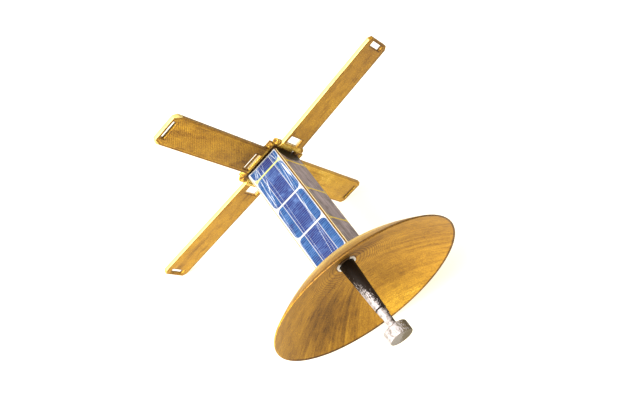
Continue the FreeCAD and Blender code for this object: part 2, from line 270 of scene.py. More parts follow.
def turned(
    name: str, profile: Sequence[Pair], segments: int, ring: bool = False
) -> bpy.types.Object:
    """A piece turned about Z: a point extruded from corner to corner of a profile, and spun.

    Args:
        name: The piece's name.
        profile: Its corners as (radius, height).
        segments: How many faces go round it.
        ring: Whether the last corner joins the first. If not, both ends are closed.

    Returns:
        The piece.
    """
    bpy.ops.object.select_all(action="DESELECT")
    bpy.ops.mesh.primitive_plane_add(size=1)
    piece = name_new(name)
    corners = list(profile) + ([profile[0]] if ring else [])
    with editing(piece):
        bpy.ops.mesh.select_all(action="SELECT")
        bpy.ops.mesh.merge(type="CENTER")
        bpy.ops.transform.translate(value=(corners[0][0], 0, corners[0][1]))
        for (radius, height), (next_radius, next_height) in zip(corners, corners[1:]):
            step = (next_radius - radius, 0, next_height - height)
            bpy.ops.mesh.extrude_vertices_move(TRANSFORM_OT_translate={"value": step})
        bpy.ops.mesh.select_all(action="SELECT")
        bpy.ops.mesh.spin(
            steps=segments, angle=2 * math.pi, center=(0, 0, 0), axis=(0, 0, 1), use_auto_merge=True
        )
        bpy.ops.mesh.select_all(action="SELECT")
        bpy.ops.mesh.remove_doubles(threshold=1e-4)
        bpy.ops.mesh.fill_holes(sides=0)
        bpy.ops.mesh.normals_make_consistent(inside=False)
    return piece


def pick_faces(piece: bpy.types.Object, wanted: Callable[[Vector, Vector], bool]) -> None:
    """Select the faces of a piece in edit mode whose middle and normal are wanted.

    Args:
        piece: The piece.
        wanted: Takes a face's middle and normal, and says whether to select it.
    """
    bpy.ops.mesh.select_mode(type="FACE")
    bpy.ops.mesh.select_all(action="DESELECT")
    mesh = bmesh.from_edit_mesh(piece.data)
    for face in mesh.faces:
        face.select_set(wanted(face.calc_center_median(), face.normal))
    bmesh.update_edit_mesh(piece.data)


def bevel_upright(piece: bpy.types.Object, width: float, segments: int) -> None:
    """Bevel the edges of a block that stand along Z.

    Args:
        piece: The block.
        width: The bevel's width.
        segments: How many strips it has.
    """
    with editing(piece):
        bpy.ops.mesh.select_mode(type="EDGE")
        mesh = bmesh.from_edit_mesh(piece.data)
        for edge in mesh.edges:
            run = edge.verts[1].co - edge.verts[0].co
            edge.select_set(abs(run.z) > run.length / 2)
        bmesh.update_edit_mesh(piece.data)
        bpy.ops.mesh.bevel(offset=width, segments=segments, affect="EDGES")


def slice_at(axis: Axis, places: Sequence[float]) -> None:
    """Cut new edges round a piece in edit mode, where planes across an axis meet it.

    Args:
        axis: The axis that the planes stand across.
        places: Where they cross it.
    """
    normal = [0.0, 0.0, 0.0]
    normal[axis.value] = 1.0
    for place in places:
        bpy.ops.mesh.select_all(action="SELECT")
        point = [component * place for component in normal]
        bpy.ops.mesh.bisect(plane_co=point, plane_no=normal)


def cut_off(point: Sequence[float], normal: Sequence[float]) -> None:
    """Cut away what a piece in edit mode has beyond a plane, and close the cut."""
    bpy.ops.mesh.select_all(action="SELECT")
    bpy.ops.mesh.bisect(plane_co=point, plane_no=normal, use_fill=True, clear_outer=True)


def apply_modifier(piece: bpy.types.Object, kind: str, **settings: object) -> None:
    """Give a piece a modifier and apply it.

    Args:
        piece: The piece.
        kind: The modifier's type.
        **settings: Its settings.
    """
    modifier = piece.modifiers.new(kind.lower(), kind)
    for name, value in settings.items():
        setattr(modifier, name, value)
    choose(piece)
    bpy.ops.object.modifier_apply(modifier=modifier.name)


def round_edges(
    piece: bpy.types.Object, width: float, segments: int = 3, angle: float = 40
) -> None:
    """Round a piece's sharp edges.

    Args:
        piece: The piece.
        width: The round's width.
        segments: How many strips the round has.
        angle: Edges that turn by more than this many degrees are sharp.
    """
    apply_modifier(
        piece, "BEVEL", width=width, segments=segments, limit_method="ANGLE",
        angle_limit=math.radians(angle), use_clamp_overlap=True,
    )


def ripple(
    piece: bpy.types.Object, size: float, depth: float, direction: str = "NORMAL", group: str = ""
) -> None:
    """Make a piece's surface slightly uneven.

    Args:
        piece: The piece.
        size: The width of the unevenness.
        depth: How much it moves the surface, both ways together.
        direction: The way it moves the surface.
        group: The vertex group that it moves, or all of the piece.
    """
    texture = bpy.data.textures.new(f"{piece.name}_{direction.lower()}_ripple", "CLOUDS")
    texture.noise_scale = size
    apply_modifier(
        piece, "DISPLACE", texture=texture, texture_coords="LOCAL", strength=depth,
        direction=direction, vertex_group=group,
    )


def combine(piece: bpy.types.Object, others: Sequence[bpy.types.Object], cut: Cut) -> None:
    """Unite a piece with others, or cut them out of it, and remove them.

    Args:
        piece: The piece that stays.
        others: The pieces to unite with it or to cut out of it.
        cut: Which of the two.
    """
    for other in others:
        apply_modifier(piece, "BOOLEAN", object=other, operation=cut.value, solver="EXACT")
        bpy.data.objects.remove(other)


def copy_of(piece: bpy.types.Object, name: str, place: Matrix) -> bpy.types.Object:
    """A copy of a piece with a mesh of its own, moved to a place.

    Args:
        piece: The piece.
        name: The copy's name.
        place: Where the copy goes.

    Returns:
        The copy.
    """
    twin = bpy.data.objects.new(name, piece.data.copy())
    bpy.context.scene.collection.objects.link(twin)
    twin.data.transform(place)
    return twin


def dress(piece: bpy.types.Object, material: bpy.types.Material) -> None:
    """Give a piece its one material."""
    piece.data.materials.clear()
    piece.data.materials.append(material)


def settle(
    piece: bpy.types.Object, place: Matrix, node: str, model: ModelFrame, smooth_angle: float = 32
) -> None:
    """Put a finished piece in its place in the row frame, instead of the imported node.

    Args:
        piece: The finished piece, in its own frame.
        place: The place of that frame.
        node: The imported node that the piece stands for.
        model: The model's frames.
        smooth_angle: Edges that turn by more than this many degrees stay sharp.
    """
    piece.data.transform(place)
    piece.data.update()
    choose(piece)
    bpy.ops.object.shade_smooth_by_angle(angle=math.radians(smooth_angle))
    body = model.body_of(node)
    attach(piece, body)
    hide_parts(node)
    LOG.info("%s: %d faces, rides on %s", piece.name, len(piece.data.polygons), body)


# ---- Tools for wiring a finish ----


class Wiring:
    """A node tree, with a short method for each kind of node that the finishes use."""

    def __init__(self, tree: bpy.types.NodeTree) -> None:
        """Wire up a tree that exists."""
        self.tree = tree

    def feed(self, sockets: Sockets, sources: dict[int | str, Source]) -> None:
        """Link sockets to their sources, or set them to plain values.

        Args:
            sockets: The sockets.
            sources: What feeds each of them, by its name or its number.
        """
        for key, source in sources.items():
            if isinstance(source, Socket):
                self.tree.links.new(source, sockets[key])
            else:
                sockets[key].default_value = source

    def add(
        self, kind: str, sources: dict[int | str, Source], **settings: object
    ) -> bpy.types.Node:
        """A new shader node.

        Args:
            kind: Its type, without the prefix.
            sources: What feeds its inputs, by name or number.
            **settings: Its own settings.

        Returns:
            The node.
        """
        node = self.tree.nodes.new(f"ShaderNode{kind}")
        for name, value in settings.items():
            setattr(node, name, value)
        self.feed(node.inputs, sources)
        return node

    def math(self, operation: str, *sources: Source, clamp: bool = False) -> Socket:
        """The result of a Math node."""
        feeds = dict(enumerate(sources))
        return self.add("Math", feeds, operation=operation, use_clamp=clamp).outputs[0]

    def plus(self, first: Source, second: Source, clamp: bool = False) -> Socket:
        """The sum of two numbers."""
        return self.math("ADD", first, second, clamp=clamp)

    def minus(self, first: Source, second: Source, clamp: bool = False) -> Socket:
        """The first number less the second."""
        return self.math("SUBTRACT", first, second, clamp=clamp)

    def times(self, first: Source, second: Source) -> Socket:
        """The product of two numbers."""
        return self.math("MULTIPLY", first, second)

    def over(self, first: Source, second: Source) -> Socket:
        """The first number divided by the second."""
        return self.math("DIVIDE", first, second)

    def off(self, value: Source, middle: Source) -> Socket:
        """How far a number is from a middle one, either way."""
        return self.math("ABSOLUTE", self.minus(value, middle))

    def largest(self, *sources: Source) -> Socket:
        """The largest of the numbers."""
        return reduce(lambda first, second: self.math("MAXIMUM", first, second), sources)

    def smallest(self, *sources: Source) -> Socket:
        """The smallest of the numbers."""
        return reduce(lambda first, second: self.math("MINIMUM", first, second), sources)

    def added(self, base: Source, *parts: tuple[Source, Source]) -> Socket:
        """A number to which each mask adds its amount.

        Args:
            base: The number to start from.
            *parts: Each mask and the amount that it adds where it is 1.

        Returns:
            The sum.
        """
        for mask, amount in parts:
            base = self.math("MULTIPLY_ADD", mask, amount, base)
        return base

    def vector(self, operation: str, *sources: Source) -> Socket:
        """The result of a Vector Math node."""
        node = self.add("VectorMath", dict(enumerate(sources)), operation=operation)
        return node.outputs["Value" if operation in ("DOT_PRODUCT", "LENGTH") else "Vector"]

    def join(self, x: Source, y: Source, z: Source = 0.0) -> Socket:
        """A vector from its three components."""
        return self.add("CombineXYZ", {0: x, 1: y, 2: z}).outputs[0]

    def split(self, vector: Socket) -> tuple[Socket, Socket, Socket]:
        """The three components of a vector."""
        return tuple(self.add("SeparateXYZ", {0: vector}).outputs)

    def span(self, value: Source, low: Source, high: Source) -> Socket:
        """A smooth step from 0 at low to 1 at high, whichever is larger."""
        feeds = {"Value": value, "From Min": low, "From Max": high}
        return self.add("MapRange", feeds, interpolation_type="SMOOTHSTEP").outputs["Result"]

    def blend(self, mask: Source, first: Source, second: Source) -> Socket:
        """One colour where the mask is 0, and another where it is 1."""
        feeds = {"Factor": mask, "A": first, "B": second}
        return self.add("Mix", feeds, data_type="RGBA", clamp_factor=True).outputs["Result"]

    def slide(self, mask: Source, first: Source, second: Source) -> Socket:
        """One number where the mask is 0, and another where it is 1."""
        feeds = {0: mask, 2: first, 3: second}
        return self.add("Mix", feeds, data_type="FLOAT", clamp_factor=True).outputs[0]

    def noise(
        self, position: Socket, scale: Source, detail: float = 3.0, roughness: float = 0.55
    ) -> Socket:
        """Noise from 0 to 1.

        Args:
            position: Where it is read.
            scale: Its patches per millimetre, or a scale for each axis.
            detail: How many finer layers it has.
            roughness: How strong those are.

        Returns:
            The noise.
        """
        if isinstance(scale, tuple):
            position = self.vector("MULTIPLY", position, scale)
            scale = 1.0
        feeds = {"Vector": position, "Scale": scale, "Detail": detail, "Roughness": roughness}
        return self.add("TexNoise", feeds).outputs["Fac"]

    def use(self, group: bpy.types.NodeTree, **sources: Source) -> Sockets:
        """The outputs of a group, with its inputs fed by name."""
        return self.add("Group", sources, node_tree=group).outputs


class Effect(Wiring):
    """A node group that several materials use, with named inputs and outputs."""

    def __init__(
        self, name: str, inputs: dict[str, float | tuple], outputs: dict[str, str]
    ) -> None:
        """Make the group's tree and its sockets.

        Args:
            name: The group's name.
            inputs: The inputs' names and first values. A tuple makes a vector.
            outputs: The outputs' names and kinds: Float, Vector or Color.
        """
        super().__init__(bpy.data.node_groups.new(name, "ShaderNodeTree"))
        for label, value in inputs.items():
            kind = "Vector" if isinstance(value, tuple) else "Float"
            socket = self.tree.interface.new_socket(
                name=label, in_out="INPUT", socket_type=f"NodeSocket{kind}"
            )
            socket.default_value = value
        for label, kind in outputs.items():
            self.tree.interface.new_socket(
                name=label, in_out="OUTPUT", socket_type=f"NodeSocket{kind}"
            )
        self.given = self.tree.nodes.new("NodeGroupInput").outputs
        self.result = self.tree.nodes.new("NodeGroupOutput").inputs

    def put_out(self, **sources: Source) -> bpy.types.NodeTree:
        """Feed the group's outputs by name, and return its tree."""
        self.feed(self.result, sources)
        return self.tree


class Paintwork(Wiring):
    """A material with a Principled surface, fed in millimetres of a piece's own frame."""

    def __init__(self, name: str, place: Matrix) -> None:
        """Start the material.

        Args:
            name: The material's name.
            place: The place of the frame that the finish is drawn in.
        """
        self.material = bpy.data.materials.new(name)
        self.material.use_nodes = True
        super().__init__(self.material.node_tree)
        self.shader = self.tree.nodes["Principled BSDF"]
        shift, turn, _ = place.decompose()
        feeds = {
            "Vector": self.add("TexCoord", {}).outputs["Object"], "Location": shift,
            "Rotation": turn.to_euler(), "Scale": (MILLIMETRE,) * 3,
        }
        self.position = self.add("Mapping", feeds, vector_type="TEXTURE").outputs["Vector"]

    def run(self, way: Triple) -> Socket:
        """How far the surface lies along a way through the frame's origin."""
        return self.vector("DOT_PRODUCT", self.position, way)

    def facing(self, way: Triple) -> Socket:
        """How much a turned piece's side faces a way across its axis, from -1 to 1."""
        x, y, _ = self.split(self.position)
        return self.vector("DOT_PRODUCT", self.vector("NORMALIZE", self.join(x, y)), way)

    def surface(self, relief: Source, **sources: Source) -> bpy.types.Material:
        """Feed the surface's sockets and return the material.

        Args:
            relief: The height of the surface's fine relief, in millimetres.
            **sources: The Principled sockets' names, with _ for a space, and their sources.

        Returns:
            The finished material.
        """
        feeds = {name.replace("_", " "): source for name, source in sources.items()}
        bump = self.add("Bump", {"Strength": 1.0, "Distance": MILLIMETRE, "Height": relief})
        self.feed(self.shader.inputs, feeds | {"Normal": bump.outputs["Normal"]})
        return self.material

    def gilt(self, relief: Source, color: Source, roughness: Source) -> bpy.types.Material:
        """A surface of gold paint with this relief, colour and roughness."""
        sheen = {"Metallic": GOLD_METALLIC, "Specular_IOR_Level": GOLD_SPECULAR}
        return self.surface(relief, Base_Color=color, Roughness=roughness, **sheen)


# ---- Effects that several finishes share ----


@lru_cache(maxsize=None)
def print_roads() -> bpy.types.NodeTree:
    """The rounded roads that a fused-filament print is made of, side by side or in layers.

    Returns:
        A group that takes a position, the way across the roads, their pitch and how much they
        wander, and gives the roads' height from 0 to 1 and a mask of the grooves between them.
    """
    effect = Effect(
        "print_roads",
        {"Position": ORIGIN, "Across": (1.0, 0.0, 0.0), "Pitch": 0.45, "Wander": 0.2},
        {"Ridge": "Float", "Groove": "Float"},
    )
    given = effect.given
    drift_patches, groove_start = 0.35, 0.55
    drift = effect.minus(effect.noise(given["Position"], drift_patches, 2.0), 0.5)
    drift = effect.times(drift, given["Wander"])
    across = effect.vector("DOT_PRODUCT", given["Position"], given["Across"])
    count = effect.plus(effect.over(across, given["Pitch"]), drift)
    from_middle = effect.times(effect.off(effect.math("FRACT", count), 0.5), 2.0)
    square = effect.times(from_middle, from_middle)
    ridge = effect.math("SQRT", effect.minus(1.0, square, clamp=True))
    return effect.put_out(Ridge=ridge, Groove=effect.span(from_middle, groove_start, 1.0))


@lru_cache(maxsize=None)
def near_edges() -> bpy.types.NodeTree:
    """Where two faces of a box meet.

    Returns:
        A group that takes a position, a box's lowest and highest corners and a width, and gives
        a mask of the surface within that width of the box's edges.
    """
    effect = Effect(
        "near_edges",
        {"Position": ORIGIN, "Low": ORIGIN, "High": (1.0, 1.0, 1.0), "Width": 0.25},
        {"Edge": "Float"},
    )
    given = effect.given
    from_low = effect.vector("SUBTRACT", given["Position"], given["Low"])
    from_high = effect.vector("SUBTRACT", given["High"], given["Position"])
    inside = effect.vector("ABSOLUTE", effect.vector("MINIMUM", from_low, from_high))
    near = [effect.span(distance, given["Width"], 0.0) for distance in effect.split(inside)]
    pairs = [effect.times(near[a], near[b]) for a, b in ((0, 1), (1, 2), (2, 0))]
    return effect.put_out(Edge=effect.largest(*pairs))


@lru_cache(maxsize=None)
def gold_paint() -> bpy.types.NodeTree:
    """Gold paint brushed on by hand, from umber where it is thin to straw where it is thick.

    Returns:
        A group that takes a position, a tone from 0 to 1 and how mottled the paint is, and gives
        its colour, its roughness and its own height.
    """
    effect = Effect(
        "gold_paint",
        {"Position": ORIGIN, "Tone": 0.6, "Mottle": 0.3},
        {"Color": "Color", "Roughness": "Float", "Height": "Float"},
    )
    grain_share, contrast, smoothest, roughest = 0.68, 3.0, 0.4, 0.68
    position = effect.given["Position"]
    patches = effect.noise(position, 0.45, 4.0, 0.6)
    grains = effect.noise(position, 3.6, 3.0, 0.7)
    mixed = effect.slide(grain_share, patches, grains)
    shift = effect.times(effect.minus(mixed, 0.5), effect.given["Mottle"])
    tone = effect.plus(effect.given["Tone"], effect.times(shift, contrast), clamp=True)
    ramp = effect.add("ValToRGB", {"Fac": tone})
    for _ in GOLD_TONES[2:]:
        ramp.color_ramp.elements.new(0.5)
    for element, (place, color) in zip(ramp.color_ramp.elements, GOLD_TONES):
        element.position = place
        element.color = color
    roughness = effect.slide(grains, smoothest, roughest)
    return effect.put_out(Color=ramp.outputs["Color"], Roughness=roughness, Height=grains)


@lru_cache(maxsize=None)
def solar_cells() -> bpy.types.NodeTree:
    """A printed string of silicon cells: cells with cut corners, busbars and finger lines.

    Returns:
        A group that takes a position with X across the card and Y along it, where the first gap
        lies, and the cells' pitch and half width, and gives masks of the cells, the busbars, the
        finger lines and each cell's middle column.
    """
    effect = Effect(
        "solar_cells",
        {"Position": ORIGIN, "First Gap": 3.2, "Pitch": 9.7, "Half Width": 4.35, "Gap": 0.38},
        {"Cell": "Float", "Bus": "Float", "Finger": "Float", "Column": "Float"},
    )
    corner, bus_place, bus_half = 1.2, 2.3, 0.07
    finger_pitch, finger_share, soft = 0.5, 0.3, 0.05
    given = effect.given
    across, along, _ = effect.split(given["Position"])
    across = effect.math("ABSOLUTE", across)
    from_gap = effect.minus(along, given["First Gap"])
    cycle = effect.math("FRACT", effect.over(from_gap, given["Pitch"]))
    from_middle = effect.times(effect.off(cycle, 0.5), given["Pitch"])
    half_cell = effect.times(effect.minus(given["Pitch"], given["Gap"]), 0.5)
    over_x = effect.minus(across, effect.minus(given["Half Width"], corner))
    over_y = effect.minus(from_middle, effect.minus(half_cell, corner))
    outside = effect.join(effect.largest(over_x, 0.0), effect.largest(over_y, 0.0))
    inside = effect.smallest(effect.largest(over_x, over_y), 0.0)
    distance = effect.minus(effect.plus(effect.vector("LENGTH", outside), inside), corner)
    from_bus = effect.off(across, bus_place)
    finger = effect.off(effect.math("FRACT", effect.over(along, finger_pitch)), 0.5)
    return effect.put_out(
        Cell=effect.span(distance, soft, -soft),
        Bus=effect.span(from_bus, bus_half + soft, bus_half - soft),
        Finger=effect.span(finger, finger_share, finger_share / 2),
        Column=effect.span(across, bus_place + soft, bus_place - soft),
    )


@lru_cache(maxsize=None)
def dry_brush() -> bpy.types.NodeTree:
    """Silver paint dragged over a dark ground with a nearly dry brush.

    Returns:
        A group that takes a position and how much of the ground is covered, and gives a mask of
        the silver and its height.
    """
    effect = Effect(
        "dry_brush", {"Position": ORIGIN, "Cover": 0.5}, {"Silver": "Float", "Height": "Float"}
    )
    grain_share, bare_level, covered_level, soft = 0.6, 0.72, 0.24, 0.05
    strokes = effect.noise(effect.given["Position"], (3.0, 3.0, 1.2), 3.0, 0.6)
    grains = effect.noise(effect.given["Position"], 4.4, 2.0, 0.6)
    mixed = effect.slide(grain_share, strokes, grains)
    level = effect.slide(effect.given["Cover"], bare_level, covered_level)
    silver = effect.span(mixed, level, effect.plus(level, soft))
    return effect.put_out(Silver=silver, Height=grains)


# ---- Finishes ----


@dataclass(frozen=True)
class Finish:
    """A finish that can be made into a material, and drawn in the frame at any place."""

    def make(self, name: str, place: Matrix) -> bpy.types.Material:
        """The finish as a material of that name, drawn in the frame at that place."""
        return self.draw(Paintwork(name, place))

    def draw(self, work: Paintwork) -> bpy.types.Material:
        """Wire the finish up in an empty material, and return it."""
        raise NotImplementedError


@dataclass(frozen=True)
class GoldFinish(Finish):
    """Brushed gold paint over a print's layer lines, with a painted highlight at a box's edges, and
    lighter outside it.

    Attributes:
        tone: How light the paint is, from 0 to 1.
        mottle: How uneven it is.
        low: The box's lowest corner.
        high: The box's highest corner.
        edge_highlight: How much lighter the paint is at the box's edges, a painted highlight where
            they catch the light.
        highlight_width: How far in from the edges that painted highlight reaches.
        outside: How much lighter it is outside the box.
        outside_reach: How far out that starts, and is full.
        layer: The height of a printed layer.
        wander: How much a layer line wanders, in layers.
        groove: What the lines between layers add to the tone.
    """

    tone: float
    mottle: float
    low: Triple = (-5.0, -5.0, 0.0)
    high: Triple = (5.0, 5.0, 1.0)
    edge_highlight: float = 0.0
    highlight_width: float = 0.45
    outside: float = 0.0
    outside_reach: Pair = (0.2, 1.3)
    layer: float = 0.2
    wander: float = 0.15
    groove: float = -0.1

    def draw(self, work: Paintwork) -> bpy.types.Material:
        """Wire the finish up.

        Args:
            work: The empty material.

        Returns:
            The finished material.
        """
        roads = work.use(
            print_roads(), Position=work.position, Across=UPWARD, Pitch=self.layer,
            Wander=self.wander,
        )
        edges = work.use(
            near_edges(), Position=work.position, Low=self.low, High=self.high,
            Width=self.highlight_width,
        )
        x, y, _ = work.split(work.vector("ABSOLUTE", work.position))
        beyond = work.minus(work.largest(x, y), self.high[0])
        tone = work.added(
            self.tone,
            (roads["Groove"], self.groove),
            (edges["Edge"], self.edge_highlight),
            (work.span(beyond, *self.outside_reach), self.outside),
        )
        paint = work.use(gold_paint(), Position=work.position, Tone=tone, Mottle=self.mottle)
        paint_relief, layer_relief = 0.04, 0.03
        relief = work.times(paint["Height"], paint_relief)
        relief = work.added(relief, (roads["Ridge"], layer_relief))
        return work.gilt(relief, paint["Color"], paint["Roughness"])


@dataclass(frozen=True)
class Blade:
    """The sizes of a paddle's blade, in the paddle's own frame.

    Attributes:
        half_width: Its half width.
        length: From the pin to its tip.
        low: Its rear face.
        high: Its front face.
        slots: Where each slot starts and ends along it, and across it: root slot, tip slot.
        corner: How long and how wide a cut corner of the tip is.
        root_corner: The length and width of a cut corner of the root.
    """

    half_width: float = 4.15
    length: float = 34.0
    low: float = 0.1
    high: float = 1.1
    slots: tuple[Slot, Slot] = ((0.8, 3.15, -1.85, 3.05), (31.95, 33.3, -2.35, 2.35))
    corner: Pair = (2.0, 0.9)
    root_corner: float = 0.5


@dataclass(frozen=True)
class PaddleFinish(Finish):
    """Gold paint on a paddle: diagonal roads inside two outline roads, and a painted highlight on
    the sides that face the light.

    Attributes:
        tone: How light the paint is, from 0 to 1.
        mottle: How uneven it is.
        seed: Shifts the paint's pattern.
        root: How much darker it is at the root, partly painted shade by the body and partly grime.
        tip: How much darker it is at the tip.
        root_reach: How far along the blade the root's dark ends, and is full.
        tip_start: How far along the blade the tip's dark starts.
        barrel: How much lighter the hinge barrel is, a painted highlight.
        barrel_highlight_reach: How far along the blade that painted highlight ends, and is full.
        streak: What a streak of thin paint adds to the tone.
        groove: What the grooves between the roads add to it.
        line: What the dark line inside the outline adds to it.
        beside: What the faces beside a slot have added to it.
        lip_highlight: What the front part of a slot's walls has added to it, a painted highlight.
        deep: What the rest of those walls has added to it, a painted shade.
        lip_depth: How far behind the front face that part ends, and the rest starts.
        slot_highlight: How much the root slot's walls, below the front face, are painted pale, a
            painted highlight.
        slot_highlight_tip: The same for the tip slot.
        flank: How much paler the blade's long sides are, a painted highlight where they face the
            light.
        cap: How much paler its tip's end and corners are, the same painted highlight.
        highlight_skin: How far in from those sides the painted highlight ends, and is full.
        pitch: The width of a printed road.
        slant: The way across the diagonal roads.
        blade: The blade's sizes.
    """

    tone: float
    mottle: float
    seed: float
    root: float = 0.04
    tip: float = 0.0
    root_reach: Pair = (10.0, 1.5)
    tip_start: float = 12.0
    barrel: float = 0.3
    barrel_highlight_reach: Pair = (1.0, 0.7)
    streak: float = -0.22
    groove: float = -0.17
    line: float = -0.24
    beside: float = -0.22
    lip_highlight: float = 0.35
    deep: float = -0.02
    lip_depth: Pair = (0.35, 0.55)
    slot_highlight: float = 0.9
    slot_highlight_tip: float = 0.1
    flank: float = 0.0
    cap: float = 0.0
    highlight_skin: Pair = (0.12, 0.03)
    pitch: float = 0.45
    slant: Triple = (0.7071, 0.7071, 0.0)
    blade: Blade = Blade()

    def draw(self, work: Paintwork) -> bpy.types.Material:
        """Wire the finish up.

        Args:
            work: The empty material.

        Returns:
            The finished material.
        """
        outward, across, height = work.split(work.position)
        from_side, from_end = self.margins(work, outward, across)
        from_outline = work.smallest(from_side, from_end)
        ridge, groove = self.roads(work, from_outline)
        shifted = work.vector("ADD", work.position, (self.seed, 2 * self.seed, 0.0))
        streak_patches, thin_level, highlight_level = (0.12, 0.55, 0.3), (0.5, 0.72), (0.75, 0.55)
        streaks = work.noise(shifted, streak_patches, 5.0, 0.65)
        line_inner, line_outer = (0.5, 0.24), (0.1, 0.2)
        line = work.times(
            work.span(from_outline, *line_inner), work.span(from_outline, *line_outer)
        )
        beside, wall = self.slot_masks(work, outward, across, height)
        lip_end, deep_start = (self.blade.high - depth for depth in self.lip_depth)
        deep = work.times(wall, work.span(height, lip_end, deep_start))
        # Painted light in the tone: the root's darkening is partly painted shade by the body, the
        # barrel's lightening and the slot walls' front part are painted highlights, and their
        # deeper part is painted shade.
        tone = work.added(
            self.tone,
            (work.span(streaks, *thin_level), self.streak),
            (work.span(outward, *self.root_reach), -self.root),
            (work.span(outward, self.tip_start, self.blade.length), -self.tip),
            (groove, self.groove),
            (work.span(outward, *self.barrel_highlight_reach), self.barrel),
            (line, self.line),
            (beside, self.beside),
            (work.minus(wall, deep), self.lip_highlight),
            (deep, self.deep),
        )
        paint = work.use(gold_paint(), Position=shifted, Tone=tone, Mottle=self.mottle)
        # Pale paint on the slots' deeper walls, a painted highlight.
        mid_blade = (10.0, 20.0)
        slot_highlight_share = work.slide(work.span(outward, *mid_blade), self.slot_highlight, self.slot_highlight_tip)
        color = work.blend(work.times(deep, slot_highlight_share), paint["Color"], SLOT_HIGHLIGHT_CREAM)
        # A painted highlight on the sides and tip that face the light.
        flank = work.times(work.span(from_side, *self.highlight_skin), self.flank)
        cap = work.times(work.span(from_end, *self.highlight_skin), self.cap)
        pale = work.times(work.largest(flank, cap), work.span(streaks, *highlight_level))
        color = work.blend(pale, color, EDGE_HIGHLIGHT_STRAW)
        paint_relief, road_relief = 0.05, 0.045
        relief = work.added(work.times(paint["Height"], paint_relief), (ridge, road_relief))
        return work.gilt(relief, color, paint["Roughness"])

    def margins(self, work: Paintwork, outward: Socket, across: Socket) -> tuple[Socket, Socket]:
        """How far in from the blade's long sides, and from its end and cut corners.

        Args:
            work: The material.
            outward: How far along the blade the surface is.
            across: How far across it.

        Returns:
            The two distances.
        """
        length, width = self.blade.corner
        from_side = work.minus(self.blade.half_width, work.math("ABSOLUTE", across))
        from_end = work.minus(self.blade.length, outward)
        from_corner = work.added(work.minus(from_side, width), (from_end, width / length))
        from_corner = work.over(from_corner, math.hypot(1.0, width / length))
        return from_side, work.smallest(from_end, from_corner)

    def roads(self, work: Paintwork, from_outline: Socket) -> tuple[Socket, Socket]:
        """The printed roads: two along the outline, and diagonal ones inside them.

        Args:
            work: The material.
            from_outline: How far in from the outline the surface is.

        Returns:
            The roads' height, and the grooves between them.
        """
        wander, outline_wander = 0.5, 0.1
        diagonal = work.use(
            print_roads(), Position=work.position, Across=self.slant, Pitch=self.pitch,
            Wander=wander,
        )
        outline = work.use(
            print_roads(), Position=work.join(from_outline, 0.0), Pitch=self.pitch,
            Wander=outline_wander,
        )
        border_width, soft = 2 * self.pitch, 0.02
        border = work.span(from_outline, border_width + soft, border_width - soft)
        ridge, groove = (
            work.slide(border, diagonal[part], outline[part]) for part in ("Ridge", "Groove")
        )
        return ridge, groove

    def slot_masks(
        self, work: Paintwork, outward: Socket, across: Socket, height: Socket
    ) -> tuple[Socket, Socket]:
        """Where the blade's faces are beside a slot, and where the slots' own walls are.

        Args:
            work: The material.
            outward: How far along the blade the surface is.
            across: How far across it.
            height: How far from the pin's axis it is, across the blade's faces.

        Returns:
            The two masks.
        """
        reaches = []
        for start, end, near, far in self.blade.slots:
            over_x = work.minus(work.off(outward, (start + end) / 2), (end - start) / 2)
            over_y = work.minus(work.off(across, (near + far) / 2), (far - near) / 2)
            reaches.append(work.largest(over_x, over_y))
        reach = work.smallest(*reaches)
        from_middle = work.off(height, (self.blade.low + self.blade.high) / 2)
        wall_reach, wall_height, beside_reach = (0.16, 0.06), (0.46, 0.36), (0.4, 0.1)
        wall = work.times(work.span(reach, *wall_reach), work.span(from_middle, *wall_height))
        return work.span(reach, *beside_reach), wall


@dataclass(frozen=True)
class Zone:
    """An oval zone of a dish's face, lighter or darker than the rest.

    Attributes:
        along: Its middle, along the way that the paint was brushed.
        across: Its middle, across that way.
        length: Its half length.
        width: Its half width.
        tone: What it adds to the tone.
    """

    along: float
    across: float
    length: float
    width: float
    tone: float


# The zones mix the paint's own patches with painted light. The first is painted shade in the dark
# fan, where the layer lines turn the light away. The second and the last are painted shade with
# brown paint round the feed's foot. The fourth is a painted highlight near the rim.
DISH_PATCHES_AND_PAINTED_LIGHT = (
    Zone(-11.0, -13.0, 12.0, 10.0, -0.24),
    Zone(3.5, 2.5, 9.0, 4.0, -0.2),
    Zone(8.0, -14.0, 7.0, 6.0, -0.06),
    Zone(6.0, -22.0, 12.0, 6.0, 0.14),
    Zone(11.0, 0.5, 7.0, 3.0, 0.07),
    Zone(21.0, -3.0, 8.0, 8.0, -0.06),
    Zone(-24.0, -7.0, 6.0, 6.0, -0.06),
    Zone(-4.0, -23.0, 7.0, 5.0, -0.09),
    Zone(-3.0, -3.5, 5.0, 4.0, -0.08),
)


